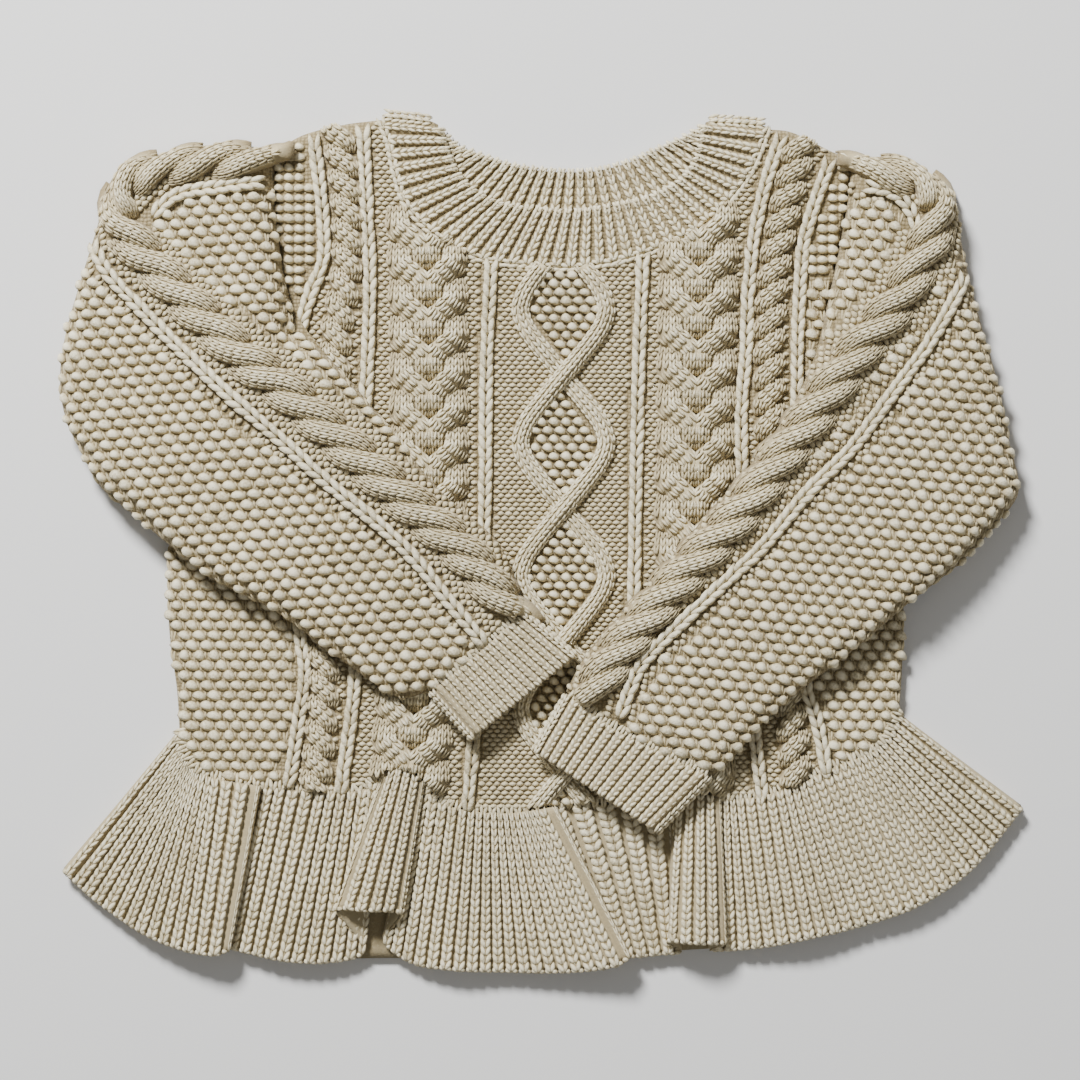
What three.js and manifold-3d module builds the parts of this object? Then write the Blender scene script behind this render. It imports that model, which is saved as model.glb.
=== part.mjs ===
// Cable knit sweater for a small child, laid flat on its back with both sleeves folded over the front.
// Millimetres, +Z up, -Y towards the hem. The origin is on the ground under the middle of the garment.
import * as THREE from 'three';
import Module from 'manifold-3d';

const wasm = await Module();
wasm.setup();

// Driving sizes of the cloth
const SEAM_GAP = 0.4;
const BACK_WALL = 3;
const FRONT_FLOOR = BACK_WALL + SEAM_GAP;
const FRONT_WALL = 3;
const FRONT_EDGE_WIDTH = 5;
const OVER_FRONT = 10.3;
const EDGE_STEP = 5;
const PLAIN_STEP = 16;
const HIDDEN_EDGE_STEP = 9;
const COVERED_GAP = 9;
const NECK_WALL = 3.1;
const PEPLUM_WALL = 2.4;
const PEPLUM_GAP = 0.7;
const RIB_RISE = 0.7;

// Cables: how far each rises from its panel, half its width, and its repeat
const ROPE = { rise: 3.1, half: 6.4, pitch: 11, lean: 1.2 };
const SLEEVE_ROPE = { rise: 4.2, half: 8.6, pitch: 16.4, lean: 1.6 };
const BRAID = { rise: 1.8, half: 3.2, step: 10 };
const HORSESHOE = { rise: 3, half: 16, pitch: 15.8 };
const LATTICE = { rise: 2.6, half: 4, middle: 9, reach: 18.7, crossing: 70, pitch: 57, step: 7 };

// Edges of the body seen from above: columns x, y
const BODY = {
  neckSeamFront: [[-69, 180], [-65, 169], [-63, 159], [-58, 144], [-47, 132], [-27, 121], [-5, 118], [11, 117],
    [28, 119], [46, 124], [64, 132], [77, 143], [88, 157], [93, 168], [96, 176]],
  neckEdgeFront: [[-45, 177], [-41, 165], [-35, 154], [-22, 145], [-3, 141], [14, 140], [33, 143], [48, 147],
    [60, 154], [67, 164], [70, 178]],
  neckEdgeBack: [[-45, 177], [-37, 169], [-27, 165], [-11, 160], [6, 158], [20, 158], [34, 161], [51, 168],
    [62, 173], [70, 178]],
  neckSeamBack: [[-69, 180], [-57, 157], [-42, 141], [-18, 135], [8, 133], [35, 135], [61, 144], [81, 155],
    [96, 176]],
  shoulderLeft: [[-115, 166], [-104, 173], [-85, 178], [-69, 180]],
  shoulderRight: [[96, 176], [106, 175], [117, 170], [125, 166], [133, 163]],
  armSeamLeft: [[-115, 166], [-115, 146], [-112, 120], [-105, 88]],
  armUnderLeft: [[-105, 88], [-117, 64], [-132, 40], [-147, 18], [-161, -4]],
  armSeamRight: [[133, 163], [130, 139], [124, 109], [118, 82]],
  armUnderRight: [[118, 82], [130, 55], [141, 30], [149, 4], [155, -22]],
  sideLeft: [[-161, -4], [-161, -22], [-160, -43], [-157, -65], [-156, -81]],
  sideRight: [[155, -22], [155, -40], [154, -62], [153, -74]],
  hemSeam: [[-156, -81], [-154, -90], [-148, -99], [-122, -105], [-91, -108], [-78, -107], [-69, -100],
    [-58, -98], [-50, -105], [-42, -113], [-16, -117], [5, -114], [30, -113], [55, -112], [66, -108],
    [76, -110], [85, -111], [106, -106], [125, -97], [144, -89], [153, -74]],
};

// Each sleeve lies folded over: its edges, then the rope and the two braids laid along it
const SLEEVES = {
  right: {
    seam: BODY.armSeamLeft,
    under: [...BODY.armUnderLeft, ...BODY.sideLeft.slice(1)],
    outer: [[-115, 166], [-126, 168], [-143, 169], [-162, 165], [-179, 161], [-186, 152], [-191, 134],
      [-199, 108], [-205, 86], [-207, 66], [-204, 50], [-197, 36], [-189, 22], [-177, 12], [-162, 0]],
    lower: [[-162, 0], [-140, -17], [-115, -30], [-93, -46], [-71, -62], [-60, -68], [-49, -65]],
    end: [[-49, -65], [-28, -48], [-8, -30]],
    upper: [[-8, -30], [-18, -3], [-44, 21], [-70, 53], [-89, 75], [-105, 88]],
    cuff: [[-31, -86], [15, -49]],
    rope: [[-118, 161], [-134, 162], [-156, 160], [-172, 156], [-181, 147], [-181, 137], [-174, 126],
      [-163, 114], [-152, 102], [-140, 90], [-128, 78], [-112, 66], [-100, 55], [-88, 44], [-74, 31],
      [-62, 20], [-48, 8], [-35, -4], [-26, -14], [-19, -24]],
    braids: [[[-192, 126], [-184, 112], [-174, 101], [-154, 81], [-134, 62], [-111, 42], [-89, 22], [-68, 5],
      [-52, -11], [-41, -25], [-30, -38]], [[-119, 152], [-134, 150], [-156, 146], [-168, 135]]],
    lean: 1,
  },
  left: {
    seam: BODY.armSeamRight,
    under: [...BODY.armUnderRight, ...BODY.sideRight.slice(1)],
    outer: [[133, 163], [143, 164], [154, 163], [164, 158], [174, 150], [178, 140], [180, 125], [188, 92],
      [196, 64], [200, 42], [204, 20], [194, 6], [178, -11], [156, -27]],
    lower: [[156, -27], [134, -46], [113, -62], [95, -77], [84, -90], [73, -101]],
    end: [[73, -101], [50, -90], [29, -79], [10, -65]],
    upper: [[10, -65], [18, -50], [42, -23], [68, 8], [92, 36], [109, 62], [118, 82]],
    cuff: [[49, -125], [-4, -90]],
    rope: [[137, 157], [150, 156], [162, 153], [169, 144], [167, 132], [162, 122], [157, 112], [150, 100],
      [140, 88], [130, 75], [121, 62], [111, 48], [98, 31], [88, 17], [77, 4], [66, -8], [55, -20],
      [45, -32], [35, -44], [26, -57], [21, -66]],
    braids: [[[180, 112], [172, 97], [163, 82], [151, 66], [130, 38], [114, 22], [92, -4], [75, -20],
      [57, -37], [42, -53], [36, -66]], [[138, 150], [149, 147], [156, 140], [159, 130]]],
    lean: -1,
  },
};

// Cables of the front, from the neck or shoulder down to the hem seam
const FRONT_BRAIDS = [
  [[-98, 172], [-94, 136], [-94, 120], [-100, 104], [-104, 88], [-104, 20], [-104, -41], [-102, -55],
    [-105, -81], [-108, -100]],
  [[-77, 176], [-75, 136], [-74, 110], [-76, 55], [-81, -66], [-85, -97], [-86, -104]],
  [[-22, 117], [-24, 77], [-25, 6], [-30, -90], [-32, -110]],
  [[43, 118], [41, 70], [40, 25], [39, -43], [40, -108]],
  [[102, 172], [96, 154], [91, 132], [88, 105], [87, 79], [85, 52], [89, -43], [91, -85], [94, -104]],
  [[123, 162], [117, 145], [112, 128], [110, 105], [109, 59], [111, -26], [113, -64], [118, -80], [121, -93]],
];
const FRONT_ROPES = [
  { lean: 1, rows: [[-88, 174], [-84, 146], [-84, 116], [-88, 90], [-90, 51], [-94, -9], [-94, -65], [-97, -102]] },
  { lean: -1, rows: [[109, 169], [103, 138], [98, 105], [97, 66], [100, -9], [103, -43], [106, -72], [108, -98]] },
];
const FRONT_HORSESHOES = [
  [[-50, 128], [-49, 103], [-49, 8], [-53, -48], [-56, -94]],
  [[68, 130], [66, 68], [65, 8], [65, -48], [66, -102]],
];

// Folds of the peplum from left to right: the place and height on the seam, then on the hem
const PEPLUM_FOLDS = [
  ['left side', -156, 4.6, -206, -142, 4.7],
  ['left flare', -153, 4.7, -190, -156, 5.5],
  ['left flare', -148, 5, -168, -170, 8],
  ['left flare', -139, 7, -150, -176, 10.6],
  ['flap top', -127, 9.4, -139, -177, 11.8],
  ['flap edge', -121.5, 8.7, -134.5, -175, 10.3],
  ['flap under', -125.5, 7.9, -141, -174, 8.9],
  ['flap turn', -128.5, 6.3, -147, -174, 6.8],
  ['flap foot', -124, 4.7, -141, -174, 4.7],
  ['second group', -112, 5, -127, -177, 5.5],
  ['second group', -96, 6, -112, -180, 7.2],
  ['second group', -81, 6, -93, -181, 6.6],
  ['tube foot', -68, 4.8, -77, -177, 4.8],
  ['tube left', -67, 7.6, -87, -159, 9.8],
  ['tube top', -60, 9.4, -75, -158, 14.6],
  ['tube right', -52, 7.6, -61.5, -160, 9.8],
  ['tube foot', -53, 4.8, -68, -172, 4.8],
  ['third group', -46, 5, -57, -181, 5],
  ['third group', -33, 6, -40, -184, 7.4],
  ['third group', -20, 5.6, -17, -185, 6.2],
  ['third group', -9, 6.6, 9, -185, 8],
  ['third group', -3, 8, 26, -183, 10.6],
  ['flap top', 1, 9.4, 33, -181, 11.8],
  ['flap edge', 5.5, 8.7, 37, -178, 10.3],
  ['flap under', 2.5, 7.9, 30, -178, 8.9],
  ['flap turn', -0.5, 6.3, 24, -178, 6.8],
  ['flap foot', 4, 4.7, 30, -178, 4.7],
  ['fourth group', 20, 4.8, 39, -179, 5],
  ['fourth group', 40, 4.8, 50, -178, 4.8],
  ['tube foot', 56, 4.8, 59, -177, 4.8],
  ['tube left', 57, 6.4, 54, -172, 9.8],
  ['tube top', 66, 7.8, 65, -172, 14.6],
  ['tube right', 75, 6.4, 77, -173, 9.8],
  ['tube foot', 74.5, 4.8, 72, -176, 4.8],
  ['right group', 84, 5.4, 91, -175, 6],
  ['right group', 100, 7, 112, -171, 8.4],
  ['right group', 115, 6, 138, -165, 6.4],
  ['right group', 130, 6, 160, -157, 7.4],
  ['right group', 142, 5.4, 182, -143, 6],
  ['right side', 153, 4.6, 206, -115, 4.7],
];
const RIB_PITCH_HEM = 5.7;
const PEPLUM_LEVELS = [0, 0.35, 0.7, 1];
const NECK_RIBS = { front: 42, back: 36 };
const CUFF_RIBS = 14;
const CUFF_WALL = 2.9;
const BAND_LEVELS = [0, 0.5, 1];
const FOLD_TURNS = [Math.PI / 4, Math.PI / 2, Math.PI * 3 / 4];
// A sleeve's thickness at the wrist, its swell towards the cap, and how it drops beside the body
const SLEEVE_FORM = { wrist: 7.4, swell: 3.2, swellLength: 90, edgeWidth: 11, drop: 16, sag: 80 };
const SLIT = { inset: 6.5, past: 9, height: 0.8 };

// A smooth curve through the rows of a table
function pathThrough(rows) {
  const points = rows.map(([x, y, z = 0]) => new THREE.Vector3(x, y, z));
  return new THREE.CatmullRomCurve3(points, false, 'centripetal');
}

// Evenly spaced points on a curve through rows
function sampled(rows, step) {
  const path = pathThrough(rows);
  return path.getSpacedPoints(Math.max(2, Math.round(path.getLength() / step)));
}

// The point at a distance along a path, moved to its left by the amount across
function besidePath(path, length, along, across) {
  const u = THREE.MathUtils.clamp(along / length, 0, 1);
  const at = path.getPointAt(u);
  const way = path.getTangentAt(u);
  return { x: at.x - way.y * across, y: at.y + way.x * across };
}

// A closed counterclockwise outline from edges that follow each other
function outlineOf(edges, step) {
  const points = edges.flatMap((rows) => sampled(rows, step).slice(0, -1)).map(({ x, y }) => ({ x, y }));
  return THREE.ShapeUtils.area(points) > 0 ? points : points.reverse();
}

// The outline moved inwards by a distance
function insetOf(outline, distance) {
  return outline.map((here, i) => {
    const before = outline.at(i - 1);
    const after = outline[(i + 1) % outline.length];
    const length = Math.hypot(after.x - before.x, after.y - before.y);
    const x = here.x - (after.y - before.y) / length * distance;
    const y = here.y + (after.x - before.x) / length * distance;
    return { x, y };
  });
}

function segmentDistance(x, y, a, b) {
  const dx = b.x - a.x;
  const dy = b.y - a.y;
  const t = THREE.MathUtils.clamp(((x - a.x) * dx + (y - a.y) * dy) / (dx * dx + dy * dy), 0, 1);
  return Math.hypot(x - a.x - t * dx, y - a.y - t * dy);
}

// Distance to the nearest edge of a line of points
function lineDistance(line, x, y) {
  return line.slice(1).reduce((best, b, i) => Math.min(best, segmentDistance(x, y, line[i], b)), Infinity);
}

function isInside(outline, x, y) {
  let inside = false;
  for (let i = 0, j = outline.length - 1; i < outline.length; j = i, i += 1) {
    const a = outline[i];
    const b = outline[j];
    if ((a.y > y) !== (b.y > y) && x < (b.x - a.x) * (y - a.y) / (b.y - a.y) + a.x) inside = !inside;
  }
  return inside;
}

// Distance to the outline, positive inside it
function depthIn(outline, x, y) {
  const distance = lineDistance([...outline, outline[0]], x, y);
  return isInside(outline, x, y) ? distance : -distance;
}

const smooth = (low, high, value) => THREE.MathUtils.smoothstep(value, low, high);

// A quarter round from 0 at the edge to 1 at the given depth
function roundedEdge(depth, width) {
  const t = 1 - THREE.MathUtils.clamp(depth / width, 0, 1);
  return Math.sqrt(Math.max(0, 1 - t * t));
}

// Points of a panel seen from above; a new one is left out where it crowds the others
class PanelPoints {
  constructor(outline, covers = []) {
    this.outline = outline;
    this.covers = covers;
    this.points = outline.map(({ x, y }) => ({ x, y, rise: 0 }));
  }

  // Where a sleeve covers the panel its cables go on with far fewer points
  add(x, y, rise, wantedGap) {
    const isCovered = this.covers.some((outline) => depthIn(outline, x, y) > 8);
    const gap = isCovered ? Math.max(wantedGap, COVERED_GAP) : wantedGap;
    if (this.points.some((p) => Math.hypot(p.x - x, p.y - y) < gap)) return;
    if (depthIn(this.outline, x, y) < EDGE_STEP / 2 - 0.9) return;
    const nudge = 0.05 * Math.sin(12.9 * x + 78.2 * y);
    this.points.push({ x: x + nudge, y: y - nudge, rise });
  }

  addInset(distance, gap) {
    insetOf(this.outline, distance).forEach(({ x, y }) => this.add(x, y, 0, gap));
  }

  fill(step, gap) {
    const xs = this.outline.map((p) => p.x);
    const ys = this.outline.map((p) => p.y);
    let shift = 0;
    for (let y = Math.min(...ys); y < Math.max(...ys); y += step * 0.87) {
      shift = step / 2 - shift;
      for (let x = Math.min(...xs) + shift; x < Math.max(...xs); x += step) this.add(x, y, 0, gap);
    }
  }
}

// Delaunay triangles of points, by adding one point at a time
function delaunay(points) {
  const far = 4000;
  const all = [...points, { x: -far, y: -far }, { x: far, y: -far }, { x: 0, y: far }];
  const count = points.length;
  const circle = (a, b, c) => {
    const [p, q, r] = [all[a], all[b], all[c]];
    const d = 2 * (p.x * (q.y - r.y) + q.x * (r.y - p.y) + r.x * (p.y - q.y));
    const [pp, qq, rr] = [p, q, r].map((v) => v.x * v.x + v.y * v.y);
    const x = (pp * (q.y - r.y) + qq * (r.y - p.y) + rr * (p.y - q.y)) / d;
    const y = (pp * (r.x - q.x) + qq * (p.x - r.x) + rr * (q.x - p.x)) / d;
    return { a, b, c, x, y, reach: (p.x - x) ** 2 + (p.y - y) ** 2 };
  };
  let triangles = [circle(count, count + 1, count + 2)];
  points.forEach((point, index) => {
    const edges = new Map();
    const kept = [];
    triangles.forEach((t) => {
      if ((point.x - t.x) ** 2 + (point.y - t.y) ** 2 >= t.reach) {
        kept.push(t);
        return;
      }
      [[t.a, t.b], [t.b, t.c], [t.c, t.a]].forEach(([from, to]) => {
        const twin = `${to} ${from}`;
        if (edges.has(twin)) edges.delete(twin);
        else edges.set(`${from} ${to}`, [from, to]);
      });
    });
    triangles = kept;
    edges.forEach(([from, to]) => triangles.push(circle(from, to, index)));
  });
  return triangles.filter((t) => Math.max(t.a, t.b, t.c) < count).map((t) => [t.a, t.b, t.c]);
}

// Triangles of a panel, without those that lie outside its outline
function panelTriangles(outline, points) {
  return delaunay(points).filter(([a, b, c]) => {
    const x = (points[a].x + points[b].x + points[c].x) / 3;
    const y = (points[a].y + points[b].y + points[c].y) / 3;
    return isInside(outline, x, y);
  });
}

function geometryOf(vertices, triangles) {
  const geometry = new THREE.BufferGeometry();
  geometry.setAttribute('position', new THREE.Float32BufferAttribute(vertices.flat(), 3));
  geometry.setIndex(triangles.flat());
  return facingOut(geometry);
}

// The geometry with its faces turned so that its volume is positive
function facingOut(geometry) {
  const position = geometry.getAttribute('position');
  const index = Array.from(geometry.getIndex().array);
  const [a, b, c] = [new THREE.Vector3(), new THREE.Vector3(), new THREE.Vector3()];
  let volume = 0;
  for (let i = 0; i < index.length; i += 3) {
    a.fromBufferAttribute(position, index[i]);
    b.fromBufferAttribute(position, index[i + 1]);
    c.fromBufferAttribute(position, index[i + 2]);
    volume += a.dot(b.cross(c));
  }
  if (volume < 0) geometry.setIndex(index.reverse());
  return geometry;
}

// A flat-lying piece: its upper points and its plain lower points share one outline and a rim
function layeredSolid(outline, upperPoints, lowerPoints, upper, lower) {
  const edge = outline.length;
  const vertices = [];
  upperPoints.forEach((p) => vertices.push([p.x, p.y, upper(p)]));
  const offset = vertices.length;
  lowerPoints.forEach((p) => vertices.push([p.x, p.y, lower(p)]));
  const triangles = panelTriangles(outline, upperPoints);
  panelTriangles(outline, lowerPoints).forEach(([a, b, c]) => triangles.push([offset + c, offset + b, offset + a]));
  for (let i = 0; i < edge; i += 1) {
    const next = (i + 1) % edge;
    triangles.push([next, i, offset + i], [next, offset + i, offset + next]);
  }
  return geometryOf(vertices, triangles);
}

// A wall from columns of outer and inner points; a closed one joins its last column to its first
function columnSolid(outer, inner, isClosed) {
  const columns = outer.length;
  const levels = outer[0].length;
  const vertices = [...outer.flat(), ...inner.flat()];
  const outside = (i, j) => (i % columns) * levels + j;
  const inside = (i, j) => (columns + (i % columns)) * levels + j;
  const triangles = [];
  const quad = (a, b, c, d) => triangles.push([a, b, c], [a, c, d]);
  for (let i = 0; i < (isClosed ? columns : columns - 1); i += 1) {
    for (let j = 0; j < levels - 1; j += 1) {
      quad(outside(i, j), outside(i + 1, j), outside(i + 1, j + 1), outside(i, j + 1));
      quad(inside(i, j), inside(i, j + 1), inside(i + 1, j + 1), inside(i + 1, j));
    }
    quad(outside(i, 0), inside(i, 0), inside(i + 1, 0), outside(i + 1, 0));
    quad(outside(i, levels - 1), outside(i + 1, levels - 1), inside(i + 1, levels - 1), inside(i, levels - 1));
  }
  for (let j = 0; j < levels - 1 && !isClosed; j += 1) {
    quad(outside(0, j), outside(0, j + 1), inside(0, j + 1), inside(0, j));
    const last = columns - 1;
    quad(outside(last, j), inside(last, j), inside(last, j + 1), outside(last, j + 1));
  }
  return geometryOf(vertices, triangles);
}

function manifoldOf(geometry) {
  const vertProperties = Float32Array.from(geometry.getAttribute('position').array);
  const triVerts = Uint32Array.from(geometry.getIndex().array);
  return new wasm.Manifold(new wasm.Mesh({ numProp: 3, vertProperties, triVerts }));
}

// One solid cut away from another
function cutBy(geometry, tool) {
  const mesh = manifoldOf(geometry).subtract(manifoldOf(tool)).getMesh();
  const cut = new THREE.BufferGeometry();
  cut.setAttribute('position', new THREE.Float32BufferAttribute(mesh.vertProperties, 3));
  cut.setIndex(Array.from(mesh.triVerts));
  return cut;
}

// A rope cable: plump lobes that lean across the path, with low points between them
function layRope(panel, rows, cable, lean, pitch) {
  const path = pathThrough(rows);
  const length = path.getLength();
  const add = (along, across, rise) => {
    if (along < 2 || along > length - 2) return;
    const { x, y } = besidePath(path, length, along, across);
    panel.add(x, y, rise, 1.8);
  };
  for (let middle = pitch / 2; middle < length; middle += pitch) {
    [-0.62, 0, 0.62].forEach((part) => {
      const across = part * cable.half;
      add(middle + lean * cable.lean * across, across, cable.rise * (1 - 0.25 * Math.abs(part)));
    });
    [-0.5, 0.5].forEach((part) => {
      const across = part * cable.half;
      add(middle + pitch / 2 + lean * cable.lean * across, across, cable.rise * 0.42);
    });
    [-1, 1].forEach((side) => {
      add(middle + lean * side * pitch / 4, side * cable.half, 0);
      add(middle + pitch / 2 + lean * side * pitch / 4, side * cable.half, 0);
    });
  }
}

// A narrow ridge along a path
function layRidge(panel, rows, cable) {
  const path = pathThrough(rows);
  const length = path.getLength();
  for (let along = 3; along < length - 2; along += cable.step) {
    [0, -1, 1].forEach((side) => {
      const { x, y } = besidePath(path, length, along, side * cable.half);
      panel.add(x, y, side === 0 ? cable.rise : 0, 1.8);
    });
  }
}

// A horseshoe cable: stacked chevrons whose arms rise outwards
function layHorseshoe(panel, rows, cable) {
  const path = pathThrough(rows);
  const length = path.getLength();
  // Columns: across as a share of the half width, along as a share of the repeat, rise as a share
  const chevron = [[0, 0.95, 0.75], [0, 0.5, 0.3], [0.4, 0.7, 1], [0.75, 0.3, 0.85], [0.55, 0.15, 0.3], [1, 0.2, 0],
    [1, 0.7, 0]];
  for (let start = 0; start < length - cable.pitch / 2; start += cable.pitch) {
    chevron.forEach(([out, down, share]) => {
      (out === 0 ? [0] : [-out, out]).forEach((part) => {
        const along = start + down * cable.pitch;
        if (along > length - 2) return;
        const { x, y } = besidePath(path, length, along, part * cable.half);
        panel.add(x, y, share * cable.rise, 1.8);
      });
    });
  }
}

// A lattice cable: two strands that swing apart and cross
function layLattice(panel, cable, top, bottom) {
  for (let y = top; y > bottom; y -= cable.step) {
    const swing = Math.abs(Math.sin(Math.PI * (y - cable.crossing) / cable.pitch)) * cable.reach;
    [-1, 1].forEach((side) => {
      [0, -1, 1].forEach((edge) => {
        const x = cable.middle + side * swing + edge * cable.half;
        panel.add(x, y, edge === 0 ? cable.rise : 0, 2.4);
      });
    });
  }
  for (let y = cable.crossing + cable.pitch / 2; y > bottom; y -= cable.pitch) {
    [-6, 0, 6].forEach((dx) => [-9, 0, 9].forEach((dy) => panel.add(cable.middle + dx, y + dy, 0.6, 3)));
  }
}

const { neckSeamFront, neckSeamBack, shoulderLeft, shoulderRight, armSeamLeft, armUnderLeft } = BODY;
const { armSeamRight, armUnderRight, sideLeft, sideRight, hemSeam } = BODY;
const flipped = (rows) => [...rows].reverse();

// Edges of the body all round, from the left shoulder tip by the neck to the right one and round the hem
const bodyEdges = (neck) => [shoulderLeft, neck, shoulderRight, armSeamRight, armUnderRight, sideRight,
  flipped(hemSeam), flipped(sideLeft), flipped(armUnderLeft), flipped(armSeamLeft)];
const frontOutline = insetOf(outlineOf(bodyEdges(neckSeamFront), EDGE_STEP), SEAM_GAP / 2);
const backOutline = insetOf(outlineOf(bodyEdges(neckSeamBack), HIDDEN_EDGE_STEP), SEAM_GAP / 2);
const sleeveEdges = ({ outer, lower, end, upper, seam }) => [outer, lower, end, upper, flipped(seam)];
const sleeveOutline = (sleeve) => insetOf(outlineOf(sleeveEdges(sleeve), EDGE_STEP), SEAM_GAP / 2);

function frontPanel() {
  const panel = new PanelPoints(frontOutline, Object.values(SLEEVES).map(sleeveOutline));
  panel.addInset(2.4, 2);
  FRONT_ROPES.forEach(({ rows, lean }) => layRope(panel, rows, ROPE, lean, ROPE.pitch));
  FRONT_HORSESHOES.forEach((rows) => layHorseshoe(panel, rows, HORSESHOE));
  layLattice(panel, LATTICE, 122, -110);
  FRONT_BRAIDS.forEach((rows) => layRidge(panel, rows, BRAID));
  panel.fill(PLAIN_STEP, PLAIN_STEP * 0.45);
  const plain = new PanelPoints(frontOutline);
  plain.fill(PLAIN_STEP * 2, PLAIN_STEP);
  const top = ({ x, y, rise }) => {
    const edge = roundedEdge(depthIn(frontOutline, x, y), FRONT_EDGE_WIDTH);
    return FRONT_FLOOR + FRONT_WALL * (0.4 + 0.6 * edge) + rise;
  };
  return layeredSolid(frontOutline, panel.points, plain.points, top, () => FRONT_FLOOR);
}

function backPanel() {
  const plain = new PanelPoints(backOutline);
  plain.fill(PLAIN_STEP * 2, PLAIN_STEP);
  return layeredSolid(backOutline, plain.points, plain.points, () => BACK_WALL, () => 0);
}

// Heights of a sleeve: over the body it lies on the front, beside it on the ground
function sleeveHeights(sleeve, outline) {
  const under = sampled(sleeve.under, EDGE_STEP);
  const end = sampled(sleeve.end, EDGE_STEP);
  const slope = (x, y, width) => {
    if (isInside(frontOutline, x, y)) return 1;
    return 1 - smooth(2, width, lineDistance(under, x, y));
  };
  const { wrist, swell, swellLength, edgeWidth, drop, sag } = SLEEVE_FORM;
  const thickness = (x, y) => wrist + swell * smooth(0, swellLength, lineDistance(end, x, y));
  const edge = (x, y) => roundedEdge(depthIn(outline, x, y), edgeWidth);
  const floor = (x, y) => OVER_FRONT * slope(x, y, drop);
  const lower = ({ x, y }) => floor(x, y) + 0.25 * thickness(x, y) * (1 - edge(x, y));
  const upper = ({ x, y, rise }) => {
    const full = OVER_FRONT * (0.4 + 0.6 * slope(x, y, sag)) + thickness(x, y) - floor(x, y);
    return floor(x, y) + full * (0.5 + 0.5 * edge(x, y)) + rise;
  };
  return { upper, lower };
}

function sleeveSolid(sleeve) {
  const outline = sleeveOutline(sleeve);
  const { upper, lower } = sleeveHeights(sleeve, outline);
  const panel = new PanelPoints(outline);
  panel.addInset(2.6, 2);
  layRope(panel, sleeve.rope, SLEEVE_ROPE, sleeve.lean, SLEEVE_ROPE.pitch);
  sleeve.braids.forEach((rows) => layRidge(panel, rows, BRAID));
  panel.addInset(7, 4);
  panel.fill(12, 6);

  const plain = new PanelPoints(outline);
  const under = pathThrough(sleeve.under);
  const length = under.getLength();
  for (let along = 0; along <= length; along += 7) {
    [0, 2, -2, 9, -9, 16, -16].forEach((across) => {
      const { x, y } = besidePath(under, length, along, across);
      plain.add(x, y, 0, 1.6);
    });
  }
  plain.addInset(4, 4);
  plain.addInset(11, 8);
  plain.fill(24, 12);
  const body = layeredSolid(outline, panel.points, plain.points, upper, lower);
  return cutBy(body, sleeveSlit(sleeve, upper, lower));
}

// The thin space between the two walls of a sleeve, open at the cuff
function sleeveSlit(sleeve, upper, lower) {
  const way = new THREE.Vector2(...sleeve.cuff[0]).sub(new THREE.Vector2(...sleeve.end[0])).normalize();
  const past = ([x, y]) => [x + way.x * SLIT.past, y + way.y * SLIT.past];
  const edges = [sleeve.outer, [...sleeve.lower, past(sleeve.lower.at(-1))], sleeve.end.map(past),
    [past(sleeve.upper[0]), ...sleeve.upper], flipped(sleeve.seam)];
  const outline = insetOf(outlineOf(edges, HIDDEN_EDGE_STEP), SLIT.inset);
  const plain = new PanelPoints(outline);
  plain.fill(PLAIN_STEP, PLAIN_STEP * 0.7);
  const middle = ({ x, y }) => (upper({ x, y, rise: 0 }) + lower({ x, y })) / 2;
  return layeredSolid(outline, plain.points, plain.points, (p) => middle(p) + SLIT.height / 2,
    (p) => middle(p) - SLIT.height / 2);
}

// A ring of rib knit pressed flat: the front arc lies on the back arc, with a fold at each end
function neckband() {
  const front = { seam: pathThrough(neckSeamFront), edge: pathThrough(BODY.neckEdgeFront), height: FRONT_FLOOR + 2 };
  const back = { seam: pathThrough(neckSeamBack), edge: pathThrough(BODY.neckEdgeBack), height: NECK_WALL / 2 };
  const radius = (front.height - back.height) / 2;
  const centre = back.height + radius;
  const outer = [];
  const inner = [];
  const addColumn = (arc, share, turn, rib) => {
    const from = arc.seam.getPointAt(share);
    const to = arc.edge.getPointAt(share);
    const line = new THREE.Vector3().subVectors(to, from).normalize();
    const aside = new THREE.Vector3(-line.y, line.x, 0);
    if (share > 0.5) aside.negate();
    const normal = aside.multiplyScalar(Math.sin(turn)).add(new THREE.Vector3(0, 0, Math.cos(turn)));
    const column = BAND_LEVELS.map((level) => {
      const inset = SEAM_GAP / 2 / from.distanceTo(to);
      const at = new THREE.Vector3().lerpVectors(from, to, Math.max(level, inset));
      at.z = centre;
      return at.addScaledVector(normal, radius);
    });
    const isUnder = turn === Math.PI;
    outer.push(column.map((at) => at.clone().addScaledVector(normal,
      NECK_WALL / 2 + (isUnder ? 0 : rib)).toArray()));
    inner.push(column.map((at, j) => at.clone().addScaledVector(normal,
      -NECK_WALL / 2 - (isUnder && j > 0 ? rib / 2 : 0)).toArray()));
  };
  const frontColumns = NECK_RIBS.front * 2;
  for (let i = 0; i <= frontColumns; i += 1) addColumn(front, i / frontColumns, 0, (i % 2) * RIB_RISE);
  FOLD_TURNS.forEach((turn) => addColumn(front, 1, turn, 0));
  const backColumns = NECK_RIBS.back * 2;
  for (let i = backColumns; i >= 0; i -= 1) addColumn(back, i / backColumns, Math.PI, (i % 2) * RIB_RISE);
  flipped(FOLD_TURNS).forEach((turn) => addColumn(front, 0, turn, 0));
  return columnSolid(outer, inner, true);
}

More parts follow.
